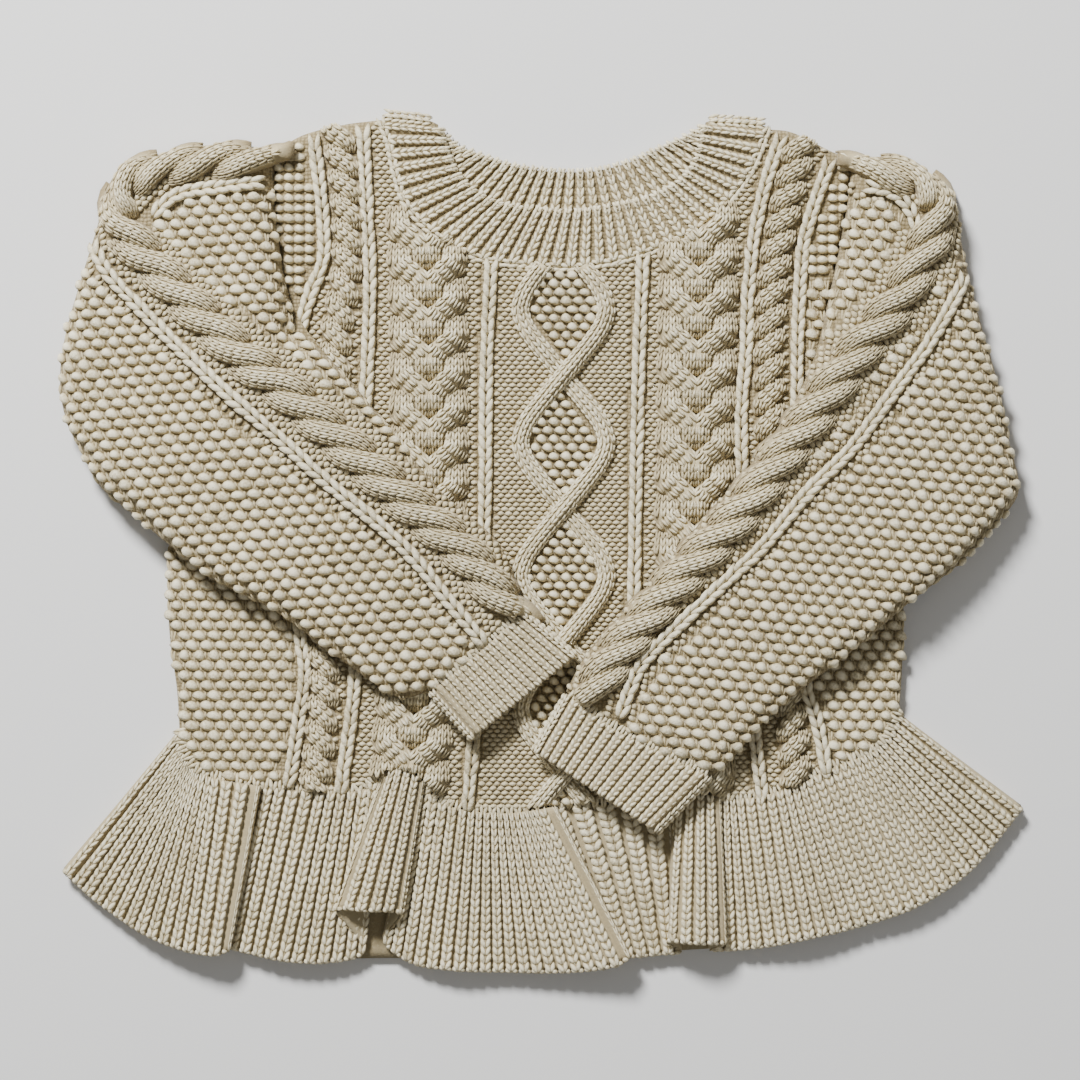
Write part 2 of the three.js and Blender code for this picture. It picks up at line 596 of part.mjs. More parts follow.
// A cuff: a flattened ribbed tube that carries on from the end of its sleeve
function cuffSolid(sleeve) {
  const wrist = pathThrough(sleeve.end);
  const hand = pathThrough(sleeve.cuff);
  const aside = new THREE.Vector3().subVectors(wrist.getPointAt(1), wrist.getPointAt(0));
  const width = aside.length();
  aside.normalize();
  const way = new THREE.Vector3().subVectors(hand.getPointAt(0), wrist.getPointAt(0)).normalize();
  const radius = (CUFF_WALL + SLIT.height) / 2;
  const height = OVER_FRONT + CUFF_WALL + SLIT.height / 2;
  const reach = 1 - (2 * radius + CUFF_WALL) / width;
  const outer = [];
  const inner = [];
  // The share runs along the wrist; the turn goes from 0 on the upper wall to half a circle on the lower
  const addColumn = (share, turn, rib) => {
    const from = wrist.getPointAt(0.5).lerp(wrist.getPointAt(share), reach).addScaledVector(way, 2 * SEAM_GAP);
    const to = hand.getPointAt(0.5).lerp(hand.getPointAt(share), reach);
    const side = share < 0.5 ? -1 : 1;
    const normal = aside.clone().multiplyScalar(side * Math.sin(turn));
    normal.z = Math.cos(turn);
    const column = BAND_LEVELS.map((level) => {
      const at = new THREE.Vector3().lerpVectors(from, to, level).addScaledVector(normal, radius);
      at.z += height;
      return at;
    });
    outer.push(column.map((at) => at.clone().addScaledVector(normal, CUFF_WALL / 2 + rib).toArray()));
    inner.push(column.map((at) => at.clone().addScaledVector(normal, -CUFF_WALL / 2).toArray()));
  };
  const columns = CUFF_RIBS * 2;
  for (let i = 0; i <= columns; i += 1) addColumn(i / columns, 0, (i % 2) * RIB_RISE);
  FOLD_TURNS.forEach((turn) => addColumn(1, turn, 0));
  for (let i = CUFF_RIBS / 2; i >= 0; i -= 1) addColumn(i / (CUFF_RIBS / 2), Math.PI, 0);
  flipped(FOLD_TURNS).forEach((turn) => addColumn(0, turn, 0));
  return columnSolid(outer, inner, true);
}

// Height of the hem seam at a place across the body
const hemPoints = sampled(hemSeam, 1.5);
function seamY(x) {
  const index = Math.max(1, hemPoints.findIndex((p) => p.x >= x));
  const [a, b] = [hemPoints[index - 1], hemPoints[index]];
  return a.y + (b.y - a.y) * THREE.MathUtils.clamp((x - a.x) / (b.x - a.x), 0, 1);
}

// The front of the peplum: rib columns along its folds, each from the seam to the hem
function peplumFront() {
  const atSeam = pathThrough(PEPLUM_FOLDS.map(([, x, z]) => [x, seamY(x), z]));
  const atHem = pathThrough(PEPLUM_FOLDS.map(([, , , x, y, z]) => [x, y, z]));
  const count = 2 * Math.round(atHem.getLength() / RIB_PITCH_HEM);
  const shares = [];
  for (let i = 0; i <= count; i += 1) shares.push(atHem.getUtoTmapping(i / count));
  const middle = shares.map((t) => PEPLUM_LEVELS.map((level) => {
    const from = atSeam.getPoint(t);
    from.y = seamY(from.x) - PEPLUM_GAP;
    return from.lerp(atHem.getPoint(t), level);
  }));
  const outer = [];
  const inner = [];
  middle.forEach((column, i) => {
    const before = middle[Math.max(0, i - 1)];
    const after = middle[Math.min(count, i + 1)];
    const normals = column.map((at, j) => {
      const across = new THREE.Vector3().subVectors(after[j], before[j]);
      const down = new THREE.Vector3().subVectors(column[Math.min(j + 1, column.length - 1)], column[Math.max(0, j - 1)]);
      const normal = down.cross(across);
      if (j === 0) normal.y = 0;
      return normal.normalize();
    });
    const rib = (i % 2) * RIB_RISE;
    outer.push(column.map((at, j) => at.clone().addScaledVector(normals[j], PEPLUM_WALL / 2 + rib).toArray()));
    inner.push(column.map((at, j) => at.clone().addScaledVector(normals[j], -PEPLUM_WALL / 2).toArray()));
  });
  return columnSolid(outer, inner, false);
}

// The back of the peplum lies flat under the front
function peplumBack() {
  const hem = PEPLUM_FOLDS.filter(([name]) => !/under|turn|foot|tube|edge/.test(name));
  const first = hem[0];
  const last = hem.at(-1);
  const edges = [
    flipped(hemSeam.map(([x, y]) => [x, y - SEAM_GAP])),
    [[first[1], seamY(first[1]) - SEAM_GAP], [first[3], first[4]]],
    hem.map(([, , , x, y]) => [x, y]),
    [[last[3], last[4]], [last[1], seamY(last[1]) - SEAM_GAP]],
  ];
  const outline = insetOf(outlineOf(edges, HIDDEN_EDGE_STEP), 0.5);
  const plain = new PanelPoints(outline);
  plain.fill(PLAIN_STEP * 2, PLAIN_STEP);
  return layeredSolid(outline, plain.points, plain.points, () => BACK_WALL, () => 0);
}

const finishOf = (color) => new THREE.MeshStandardMaterial({ color, roughness: 0.92, metalness: 0 });

function named(name, geometry, color) {
  const mesh = new THREE.Mesh(geometry, finishOf(color));
  mesh.name = name;
  return mesh;
}

const sweater = new THREE.Group();
sweater.add(named('back', backPanel(), 0xcfc6ac));
sweater.add(named('front', frontPanel(), 0xe2dac4));
sweater.add(named('sleeve_right', sleeveSolid(SLEEVES.right), 0xded5be));
sweater.add(named('sleeve_left', sleeveSolid(SLEEVES.left), 0xded5be));
sweater.add(named('neckband', neckband(), 0xe4dcc6));
sweater.add(named('cuff_right', cuffSolid(SLEEVES.right), 0xe0d8c2));
sweater.add(named('cuff_left', cuffSolid(SLEEVES.left), 0xe0d8c2));
sweater.add(named('peplum_front', peplumFront(), 0xddd4bc));
sweater.add(named('peplum_back', peplumBack(), 0xc9c0a6));

export default sweater;
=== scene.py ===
"""Looks of a small child's cable knit sweater that lies flat, its sleeves folded over the front.

Each panel is a thin shell on the form of its solid, and the knitting on it is real stitches: legs,
beads and bars of yarn, repeated as joined meshes from arrays. Sizes are in millimetres and become
metres only where a mesh is made.
"""
from __future__ import annotations

import logging
from dataclasses import dataclass, field
from enum import Enum
from typing import Callable, Sequence

import bpy
import numpy as np
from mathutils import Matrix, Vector

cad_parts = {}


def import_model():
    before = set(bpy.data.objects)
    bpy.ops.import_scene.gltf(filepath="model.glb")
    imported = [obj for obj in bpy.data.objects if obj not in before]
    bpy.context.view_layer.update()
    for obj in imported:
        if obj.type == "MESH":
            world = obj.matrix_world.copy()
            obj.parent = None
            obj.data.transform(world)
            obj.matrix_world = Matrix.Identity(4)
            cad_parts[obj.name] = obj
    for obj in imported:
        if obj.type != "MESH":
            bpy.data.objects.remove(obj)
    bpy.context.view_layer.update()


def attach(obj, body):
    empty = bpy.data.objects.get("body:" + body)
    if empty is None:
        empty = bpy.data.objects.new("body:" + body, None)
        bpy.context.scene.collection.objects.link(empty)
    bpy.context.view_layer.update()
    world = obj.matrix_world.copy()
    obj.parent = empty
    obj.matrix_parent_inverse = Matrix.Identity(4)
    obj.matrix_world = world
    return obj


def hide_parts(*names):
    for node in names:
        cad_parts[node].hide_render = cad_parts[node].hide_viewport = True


Array = np.ndarray
Rows = Sequence[Sequence[float]]
HeightOf = Callable[[Array], Array]
Shown = Callable[[Array], Array]

MM = 0.001
BODY = "root"

# Heights of the layers, one on another
BACK_WALL = 3.0
FRONT_FLOOR = 3.4
FRONT_WALL = 3.0
OVER_FRONT = 10.3
NECK_WALL = 3.1
CUFF_WALL = 2.9

# How uneven the hand of the yarn is, in radians and as a share of a stitch, and how much painted shade darkens a deep
# stitch
TURN_SPREAD = 0.055
SIZE_SPREAD = 0.05
SUNK_SHADE = 0.62

# Edges of the body seen from above, each row x and y
NECK_SEAM_FRONT = [[-69, 180], [-65, 169], [-63, 159], [-58, 144], [-47, 132], [-27, 121], [-5, 118], [11, 117],
                   [28, 119], [46, 124], [64, 132], [77, 143], [88, 157], [93, 168], [96, 176]]
NECK_EDGE_FRONT = [[-45, 177], [-41, 165], [-35, 154], [-22, 145], [-3, 141], [14, 140], [33, 143], [48, 147],
                   [60, 154], [67, 164], [70, 178]]
NECK_EDGE_BACK = [[-45, 177], [-37, 169], [-27, 165], [-11, 160], [6, 158], [20, 158], [34, 161], [51, 168],
                  [62, 173], [70, 178]]
NECK_SEAM_BACK = [[-69, 180], [-57, 157], [-42, 141], [-18, 135], [8, 133], [35, 135], [61, 144], [81, 155],
                  [96, 176]]
SHOULDER_LEFT = [[-115, 166], [-104, 173], [-85, 178], [-69, 180]]
SHOULDER_RIGHT = [[96, 176], [106, 175], [117, 170], [125, 166], [133, 163]]
ARM_SEAM_LEFT = [[-115, 166], [-115, 146], [-112, 120], [-105, 88]]
ARM_UNDER_LEFT = [[-105, 88], [-117, 64], [-132, 40], [-147, 18], [-161, -4]]
ARM_SEAM_RIGHT = [[133, 163], [130, 139], [124, 109], [118, 82]]
ARM_UNDER_RIGHT = [[118, 82], [130, 55], [141, 30], [149, 4], [155, -22]]
SIDE_LEFT = [[-161, -4], [-161, -22], [-160, -43], [-157, -65], [-156, -81]]
SIDE_RIGHT = [[155, -22], [155, -40], [154, -62], [153, -74]]
HEM_SEAM = [[-156, -81], [-154, -90], [-148, -99], [-122, -105], [-91, -108], [-78, -107], [-69, -100],
            [-58, -98], [-50, -105], [-42, -113], [-16, -117], [5, -114], [30, -113], [55, -112], [66, -108],
            [76, -110], [85, -111], [106, -106], [125, -97], [144, -89], [153, -74]]


def knot_curve(rows: Rows, place: Array) -> Array:
    """Run a centripetal curve through rows and read it at places between them.

    Each point blends straight lines through the two rows before and the two after its place, each
    row's share set by the roots of the distances between them.

    Args:
        rows: points that the curve passes, in any number of dimensions.
        place: places along the rows, 0 at the first row, 1 at the second and so on.

    Returns:
        The points, one row each.
    """
    knots = np.asarray(rows, float)
    ends = np.vstack([2 * knots[0] - knots[1], knots, 2 * knots[-1] - knots[-2]])
    place = np.asarray(place, float)
    first = np.clip(np.floor(place).astype(int), 0, len(knots) - 2)
    p0, p1, p2, p3 = (ends[first + i] for i in range(4))
    spans = [np.maximum(np.linalg.norm(b - a, axis=1, keepdims=True) ** 0.5, 1e-4)
             for a, b in ((p0, p1), (p1, p2), (p2, p3))]
    t0, t1 = 0.0, spans[0]
    t2, t3 = t1 + spans[1], t1 + spans[1] + spans[2]
    t = t1 + (place - first)[:, None] * (t2 - t1)
    a1 = (t1 - t) / (t1 - t0) * p0 + (t - t0) / (t1 - t0) * p1
    a2 = (t2 - t) / (t2 - t1) * p1 + (t - t1) / (t2 - t1) * p2
    a3 = (t3 - t) / (t3 - t2) * p2 + (t - t2) / (t3 - t2) * p3
    b1 = (t2 - t) / (t2 - t0) * a1 + (t - t0) / (t2 - t0) * a2
    b2 = (t3 - t) / (t3 - t1) * a2 + (t - t1) / (t3 - t1) * a3
    return (t2 - t) / (t2 - t1) * b1 + (t - t1) / (t2 - t1) * b2


def run_of(points: Array) -> Array:
    """Give the length of a line up to each of its points."""
    return np.concatenate([[0], np.cumsum(np.linalg.norm(np.diff(points, axis=0), axis=1))])


def read_at(values: Array, at: Array, points: Array) -> Array:
    """Read a line's points at some values, between those at which its points are known."""
    return np.stack([np.interp(at, values, column) for column in points.T], axis=-1)


def catmull(rows: Rows, step: float) -> Array:
    """Sample the curve through rows evenly by length, about a step apart."""
    dense = knot_curve(rows, np.linspace(0, len(rows) - 1, 24 * (len(rows) - 1) + 1))
    run = run_of(dense)
    return read_at(run, np.linspace(0, run[-1], max(2, round(run[-1] / step)) + 1), dense)


@dataclass(frozen=True)
class Path:
    """A smooth line seen from above, sampled evenly by length."""

    points: Array
    length: float

    @classmethod
    def through(cls, rows: Rows, step: float = 0.5) -> Path:
        """Make the path that passes the rows."""
        points = catmull(rows, step)
        return cls(points, float(np.linalg.norm(np.diff(points, axis=0), axis=1).sum()))

    def at(self, along: Array) -> Array:
        """Give the points at distances along the path, which goes on straight past its ends."""
        along = np.asarray(along, float)
        on = np.clip(along, 0, self.length)
        return read_at(np.linspace(0, self.length, len(self.points)), on, self.points) + (
            along - on)[..., None] * self.way(on)

    def way(self, along: Array) -> Array:
        """Give the directions of the path at distances along it."""
        reach = 1.2
        middle = np.clip(np.asarray(along, float), reach, self.length - reach)
        run = np.linspace(0, self.length, len(self.points))
        return unit(read_at(run, middle + reach, self.points) - read_at(run, middle - reach, self.points))

    def beside(self, along: Array, across: Array) -> Array:
        """Give points at distances along the path, moved to its left by the amounts across."""
        way = self.way(along)
        left = np.stack([-way[..., 1], way[..., 0]], axis=-1)
        return self.at(along) + left * np.asarray(across, float)[..., None]


def line_distance(line: Array, places: Array) -> Array:
    """Give the distance from each place to the nearest stretch of a line.

    Args:
        line: corners of the line, one row each.
        places: places in the plane, shape (n, 2).

    Returns:
        One distance for each place.
    """
    best = np.full(len(places), np.inf)
    for first in range(0, len(places), 8000):
        some = places[first:first + 8000, None, :]
        start = line[None, :-1]
        stretch = line[None, 1:] - start
        share = ((some - start) * stretch).sum(-1) / np.maximum((stretch ** 2).sum(-1), 1e-12)
        nearest = start + np.clip(share, 0, 1)[..., None] * stretch
        best[first:first + 8000] = np.linalg.norm(some - nearest, axis=-1).min(axis=1)
    return best


def inside(outline: Array, places: Array) -> Array:
    """Tell which places lie within a closed outline, by counting crossings of its edges.

    Args:
        outline: corners of the outline, one row each.
        places: places in the plane, shape (n, 2).

    Returns:
        True for each place within it.
    """
    x, y = places[:, 0, None], places[:, 1, None]
    a, b = outline, np.roll(outline, 1, axis=0)
    crosses = (a[None, :, 1] > y) != (b[None, :, 1] > y)
    rise = np.where(b[:, 1] == a[:, 1], 1e-9, b[:, 1] - a[:, 1])
    meet = (b[:, 0] - a[:, 0])[None] * (y - a[None, :, 1]) / rise[None] + a[None, :, 0]
    return (crosses & (x < meet)).sum(axis=1) % 2 == 1


def depth_in(outline: Array, places: Array) -> Array:
    """Give each place's distance to the outline, positive inside it."""
    distance = line_distance(np.vstack([outline, outline[:1]]), places)
    return np.where(inside(outline, places), distance, -distance)


def smooth(low: float, high: float, value: Array) -> Array:
    """Rise softly from 0 at low to 1 at high."""
    t = np.clip((value - low) / (high - low), 0, 1)
    return t * t * (3 - 2 * t)


def quarter_round(depth: Array, width: float) -> Array:
    """Rise as a quarter circle from 0 at the edge to 1 at the given depth."""
    t = 1 - np.clip(depth / width, 0, 1)
    return np.sqrt(np.maximum(0, 1 - t * t))


def outline_of(*edges: Rows, step: float = 3.0) -> Array:
    """Join edges that follow each other into one closed outline."""
    return np.vstack([catmull(rows, step)[:-1] for rows in edges])


def unit(vectors: Array) -> Array:
    """Scale vectors to length one."""
    return vectors / np.maximum(np.linalg.norm(vectors, axis=-1, keepdims=True), 1e-9)


FREE_EDGES = [catmull(rows, 3.0) for rows in (SHOULDER_LEFT, SHOULDER_RIGHT, SIDE_LEFT, SIDE_RIGHT)]
BODY_FRONT = outline_of(SHOULDER_LEFT, NECK_SEAM_FRONT, SHOULDER_RIGHT, ARM_SEAM_RIGHT, ARM_UNDER_RIGHT, SIDE_RIGHT,
                        HEM_SEAM[::-1], SIDE_LEFT[::-1], ARM_UNDER_LEFT[::-1], ARM_SEAM_LEFT[::-1])


@dataclass(frozen=True)
class Cloth:
    """A surface that stitches lie on: its height above the ground at any place."""

    height: HeightOf

    def lift(self, places: Array, rise: Array | float = 0.0) -> Array:
        """Put places seen from above on the surface, raised by an amount."""
        return np.column_stack([places, self.height(places) + rise])

    @classmethod
    def level(cls, high: float) -> Cloth:
        """Make a surface that lies flat at one height."""
        return cls(lambda places: np.full(len(places), high))

    def normals(self, places: Array) -> Array:
        """Give the surface's directions outwards, from its slopes over half a millimetre."""
        reach = 0.5
        slopes = [(self.height(places + step) - self.height(places - step)) / (2 * reach)
                  for step in (np.array([reach, 0.0]), np.array([0.0, reach]))]
        return unit(np.column_stack([-slopes[0], -slopes[1], np.ones(len(places))]))


def outward(corners: Array, faces: Array) -> Array:
    """Turn the faces of closed forms so that they look outwards: their volume is then positive.

    Args:
        corners: the corners, shape (n, 3).
        faces: faces that all turn the same way.

    Returns:
        The faces, turned over if they looked inwards.
    """
    first = corners[faces[:, 0]]
    volume = 0.0
    for i in range(1, faces.shape[1] - 1):
        volume += (first * np.cross(corners[faces[:, i]], corners[faces[:, i + 1]])).sum()
    return faces if volume > 0 else faces[:, ::-1]


@dataclass(frozen=True, eq=False)
class YarnForm:
    """The shape of one stitch, for repeating: corners, faces and how deep each corner lies, which sets its painted
    shade: darker lower down.
    """

    corners: Array
    faces: Array
    lift: Array


def tube_faces(rings: int, sides: int, first: int) -> list[list[int]]:
    """List the faces of a tube of rings with a point at each end.

    Args:
        rings: number of rings between the two end points.
        sides: corners of a ring.
        first: index of the tube's first corner, which is its start point.

    Returns:
        Faces of three corners each.
    """
    faces = []
    ring = [[first + 1 + r * sides + s for s in range(sides)] for r in range(rings)]
    last = first + 1 + rings * sides
    for s in range(sides):
        n = (s + 1) % sides
        faces.append([first, ring[0][n], ring[0][s]])
        faces.append([last, ring[-1][s], ring[-1][n]])
        for r in range(rings - 1):
            faces.append([ring[r][s], ring[r][n], ring[r + 1][n]])
            faces.append([ring[r][s], ring[r + 1][n], ring[r + 1][s]])
    return faces


def plump(middle: Array, radii: Array, flatness: float, sides: int) -> Array:
    """Wrap rings round a middle line that runs mostly along y.

    A corner lies at the middle's point plus radius times (cosine across, flatness times sine out).

    Args:
        middle: points of the middle line, the first and last of them the closed ends.
        radii: radius at each inner point.
        flatness: height of a ring over its width.
        sides: corners of a ring.

    Returns:
        The corners, start point first and end point last.
    """
    turn = np.linspace(0, 2 * np.pi, sides, endpoint=False)
    circle = np.column_stack([np.cos(turn), np.zeros(sides), flatness * np.sin(turn)])
    rings = middle[1:-1, None, :] + radii[:, None, None] * circle[None]
    return np.vstack([middle[:1], rings.reshape(-1, 3), middle[-1:]])


def vee_form(rings: int = 3, sides: int = 5) -> YarnForm:
    """Shape a knit stitch: two plump legs of yarn that part upwards, in a cell one wide and one high."""
    corners, faces, base = [], [], 0
    share = np.linspace(0, 1, rings + 2)
    for side in (-1, 1):
        across = side * (0.05 + 0.32 * share ** 0.85)
        along = -0.74 + 1.46 * share
        out = 0.22 * np.sin(np.pi * share ** 1.1) ** 0.9 - 0.02
        radii = 0.235 * np.sin(np.pi * np.linspace(0.2, 0.82, rings)) ** 0.5
        leg = plump(np.column_stack([across, along, out]), radii, 1.0, sides)
        corners.append(leg)
        faces += tube_faces(rings, sides, base)
        base += len(leg)
    points = np.vstack(corners)
    return YarnForm(points, outward(points, np.array(faces)), np.clip((points[:, 2] + 0.24) / 0.66, 0, 1))


def bead_form(rings: int = 4, sides: int = 6, tail: float = 0.2) -> YarnForm:
    """Shape a purl bead: a plump bar of yarn across its cell that thins to a tail on one side.

    Args:
        rings: rings between its ends.
        sides: corners of a ring.
        tail: how far the thin end hangs, over the bead's height.

    Returns:
        The form, in a cell one wide and one high.
    """
    share = np.linspace(0, 1, rings + 2)
    across = -0.5 + share
    bend = np.sin(np.pi * share ** 0.85)
    middle = np.column_stack([across, 0.12 * bend - tail * share ** 2, 0.30 * bend ** 0.8 - 0.16])
    radii = 0.44 * np.sin(np.pi * np.linspace(0.2, 0.86, rings) ** 1.1) ** 0.55 * (1 - tail * share[1:-1])
    turn = np.linspace(0, 2 * np.pi, sides, endpoint=False)
    circle = np.column_stack([np.zeros(sides), np.cos(turn), 0.85 * np.sin(turn)])
    ring_points = middle[1:-1, None, :] + radii[:, None, None] * circle[None]
    points = np.vstack([middle[:1], ring_points.reshape(-1, 3), middle[-1:]])
    faces = outward(points, np.array(tube_faces(rings, sides, 0)))
    return YarnForm(points, faces, np.clip((points[:, 2] + 0.2) / 0.62, 0, 1))


class Stitch(Enum):
    """The kinds of stitch that the garment is knitted in."""

    VEE = vee_form()
    BEAD = bead_form()
    BAR = bead_form(3, 5, 0.0)


@dataclass
class Knitting:
    """Stitches gathered for one joined mesh: where each lies, how it is turned and how big it is."""

    name: str
    seed: int
    corners: list[Array] = field(default_factory=list)
    faces: list[Array] = field(default_factory=list)
    painted_shade_lifts: list[Array] = field(default_factory=list)
    tints: list[Array] = field(default_factory=list)
    count: int = 0

    def __post_init__(self) -> None:
        """Start the seeded source of small unevenness."""
        self.chance = np.random.default_rng(self.seed)

    def add(self, stitch: Stitch, centres: Array, along: Array, out: Array, size: Sequence[Array | float],
            wobble: float = 1.0, painted_shade: Array | float = 0.0) -> None:
        """Lay one stitch at each centre.

        A corner lands at the centre plus its across, along and out parts times the stitch's three
        directions and sizes, each size and direction a little uneven.

        Args:
            stitch: the kind of stitch.
            centres: middles of the stitches, shape (n, 3).
            along: directions that the stitches run in.
            out: directions away from the cloth.
            size: width, length and thickness of a stitch.
            wobble: how uneven they are, 1 for usual hand of the yarn.
            painted_shade: how deep they lie between others, from 0 to 1, which darkens them as painted shade.
        """
        n = len(centres)
        if n == 0:
            return
        form = stitch.value
        out = unit(out)
        along = unit(along - out * (along * out).sum(-1, keepdims=True))
        across = np.cross(along, out)
        turn = self.chance.normal(0, TURN_SPREAD * wobble, (n, 1))
        along, across = along * np.cos(turn) + across * np.sin(turn), across * np.cos(turn) - along * np.sin(turn)
        sizes = np.stack([np.broadcast_to(s, (n,)) for s in size], axis=1)
        sizes = sizes * (1 + self.chance.normal(0, SIZE_SPREAD * wobble, (n, 3)))
        basis = np.stack([across, along, out], axis=1) * sizes[..., None]
        placed = centres[:, None, :] + np.einsum("vk,nkc->nvc", form.corners, basis)
        self.corners.append(placed.reshape(-1, 3))
        offsets = self.count + len(form.corners) * np.arange(n)
        self.faces.append((form.faces[None] + offsets[:, None, None]).reshape(-1, 3))
        # Painted shade: a deep stitch's lift is scaled down, so its colour darkens towards the root colour.
        unshaded_share = 1 - SUNK_SHADE * np.broadcast_to(painted_shade, (n,))
        self.painted_shade_lifts.append((unshaded_share[:, None] * form.lift[None]).ravel())
        self.tints.append(np.repeat(self.chance.random(n), len(form.corners)))
        self.count += n * len(form.corners)

    def piece(self, finish: bpy.types.Material) -> bpy.types.Object:
        """Join all stitches into one object."""
        faces = np.vstack(self.faces)
        obj = mesh_object(self.name, np.vstack(self.corners), faces, finish)
        # lift carries each corner's painted light and shade; tint is a random tone of each stitch.
        store(obj, "lift", np.concatenate(self.painted_shade_lifts))
        store(obj, "tint", np.concatenate(self.tints))
        logging.info("%s: %d triangles of stitches", self.name, len(faces))
        return obj


def mesh_object(name: str, corners: Array, faces: Array, finish: bpy.types.Material) -> bpy.types.Object:
    """Make an object that rides on the garment's body.

    Args:
        name: the piece's name.
        corners: its corners in millimetres.
        faces: its faces, all with the same number of corners.
        finish: its material.

    Returns:
        The object.
    """
    faces = outward(corners, faces)
    mesh = bpy.data.meshes.new(name)
    sides = faces.shape[1]
    mesh.vertices.add(len(corners))
    mesh.vertices.foreach_set("co", (corners * MM).astype(np.float32).ravel())
    mesh.loops.add(faces.size)
    mesh.loops.foreach_set("vertex_index", faces.astype(np.int32).ravel())
    mesh.polygons.add(len(faces))
    mesh.polygons.foreach_set("loop_start", (np.arange(len(faces)) * sides).astype(np.int32))
    mesh.polygons.foreach_set("use_smooth", np.ones(len(faces), bool))
    mesh.update(calc_edges=True)
    mesh.validate()
    mesh.materials.append(finish)
    obj = bpy.data.objects.new(name, mesh)
    bpy.context.scene.collection.objects.link(obj)
    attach(obj, BODY)
    return obj


def store(obj: bpy.types.Object, name: str, values: Array) -> None:
    """Keep one number for each corner of a mesh, for its material to read."""
    layer = obj.data.attributes.new(name, "FLOAT", "POINT")
    layer.data.foreach_set("value", values.astype(np.float32))


def set_painted_shade(obj: bpy.types.Object, lift: Array | float) -> None:
    """Set an object's painted light and shade: where it lies on the yarn's range from dark to pale, all over or at each
    corner.
    """
    count = len(obj.data.vertices)
    store(obj, "lift", np.broadcast_to(lift, (count,)))
    store(obj, "tint", np.full(count, 0.5))


def grid_faces(rows: int, columns: int, closed: bool = False, first: int = 0, flip: bool = False) -> Array:
    """List the four-cornered faces of a grid of points stored row by row.

    Args:
        rows: rows of points.
        columns: points in a row.
        closed: whether the last row joins the first.
        first: index of the grid's first point.
        flip: whether the faces turn the other way.

    Returns:
        One face a row.
    """
    r, c = np.meshgrid(np.arange(rows if closed else rows - 1), np.arange(columns - 1), indexing="ij")
    n = (r + 1) % rows
    faces = np.stack([r * columns + c, n * columns + c, n * columns + c + 1, r * columns + c + 1], axis=-1)
    faces = faces.reshape(-1, 4) + first
    return faces[:, ::-1] if flip else faces


class Link:
    """A node's output that joins in sums and products, each of which adds its Math node."""

    def __init__(self, shader: Shader, socket: bpy.types.NodeSocket) -> None:
        """Hold the output and the material that it belongs to."""
        self.shader = shader
        self.socket = socket

    def _with(self, operation: str, first: Link | float, second: Link | float) -> Link:
        """Add the Math node of an operation."""
        return self.shader.node("ShaderNodeMath", {"operation": operation}, {0: first, 1: second})

    def __add__(self, other: Link | float) -> Link:
        """Add."""
        return self._with("ADD", self, other)

    __radd__ = __add__

    def __mul__(self, other: Link | float) -> Link:
        """Multiply."""
        return self._with("MULTIPLY", self, other)

    __rmul__ = __mul__

    def __sub__(self, other: Link | float) -> Link:
        """Subtract the other from this."""
        return self._with("SUBTRACT", self, other)

    def __rsub__(self, other: Link | float) -> Link:
        """Subtract this from the other."""
        return self._with("SUBTRACT", other, self)

    def power(self, other: float) -> Link:
        """Raise to a power."""
        return self._with("POWER", self, other)


class Shader:
    """One material under construction."""

    def __init__(self, name: str) -> None:
        """Start a material with an empty set of nodes."""
        self.material = bpy.data.materials.new(name)
        self.material.use_nodes = True
        self.tree = self.material.node_tree
        self.tree.nodes.clear()

    def node(self, kind: str, settings: dict[str, object], inputs: dict[str | int, object],
             output: str | int = 0) -> Link:
        """Add a node.

        Args:
            kind: the node's type.
            settings: its own properties, set first.
            inputs: a value or link for each named or numbered socket.
            output: the output to hand back.

        Returns:
            The wanted output.
        """
        node = self.tree.nodes.new(kind)
        for key, value in settings.items():
            setattr(node, key, value)
        for key, value in inputs.items():
            if isinstance(value, Link):
                self.tree.links.new(value.socket, node.inputs[key])
            else:
                node.inputs[key].default_value = value
        return Link(self, node.outputs[output])

    def attribute(self, name: str) -> Link:
        """Read a number kept on the mesh."""
        return self.node("ShaderNodeAttribute", {"attribute_name": name}, {}, "Fac")

    def noise(self, scale: float, detail: float = 3.0, stretch: Sequence[float] = (1, 1, 1)) -> Link:
        """Read noise that is fixed to the object."""
        place = self.node("ShaderNodeTexCoord", {}, {}, "Object")
        place = self.node("ShaderNodeMapping", {}, {"Vector": place, "Scale": tuple(stretch)})
        return self.node("ShaderNodeTexNoise", {}, {"Vector": place, "Scale": scale, "Detail": detail,
                                                    "Roughness": 0.6})

    def mix(self, share: Link | float, first: object, second: object) -> Link:
        """Blend two colours."""
        return self.node("ShaderNodeMix", {"data_type": "RGBA"}, {0: share, 6: first, 7: second}, 2)

    def ramp(self, value: Link, low: float, high: float) -> Link:
        """Stretch the stretch from low to high to run softly from 0 to 1."""
        return self.node("ShaderNodeMapRange", {"interpolation_type": "SMOOTHSTEP"},
                         {"Value": value, "From Min": low, "From Max": high, "To Min": 0.0, "To Max": 1.0})

    def finish(self, colour: Link, roughness: Link | float, normal: Link, sheen: float) -> bpy.types.Material:
        """End the material with its cloth shader."""
        node = self.tree.nodes.new("ShaderNodeBsdfPrincipled")
        node.inputs["Specular IOR Level"].default_value = 0.18
        node.inputs["Sheen Weight"].default_value = sheen
        node.inputs["Sheen Roughness"].default_value = 0.55
        node.inputs["Sheen Tint"].default_value = (1.0, 0.96, 0.88, 1.0)
        self.tree.links.new(colour.socket, node.inputs["Base Color"])
        self.tree.links.new(normal.socket, node.inputs["Normal"])
        if isinstance(roughness, Link):
            self.tree.links.new(roughness.socket, node.inputs["Roughness"])
        else:
            node.inputs["Roughness"].default_value = roughness
        output = self.tree.nodes.new("ShaderNodeOutputMaterial")
        self.tree.links.new(node.outputs[0], output.inputs[0])
        return self.material


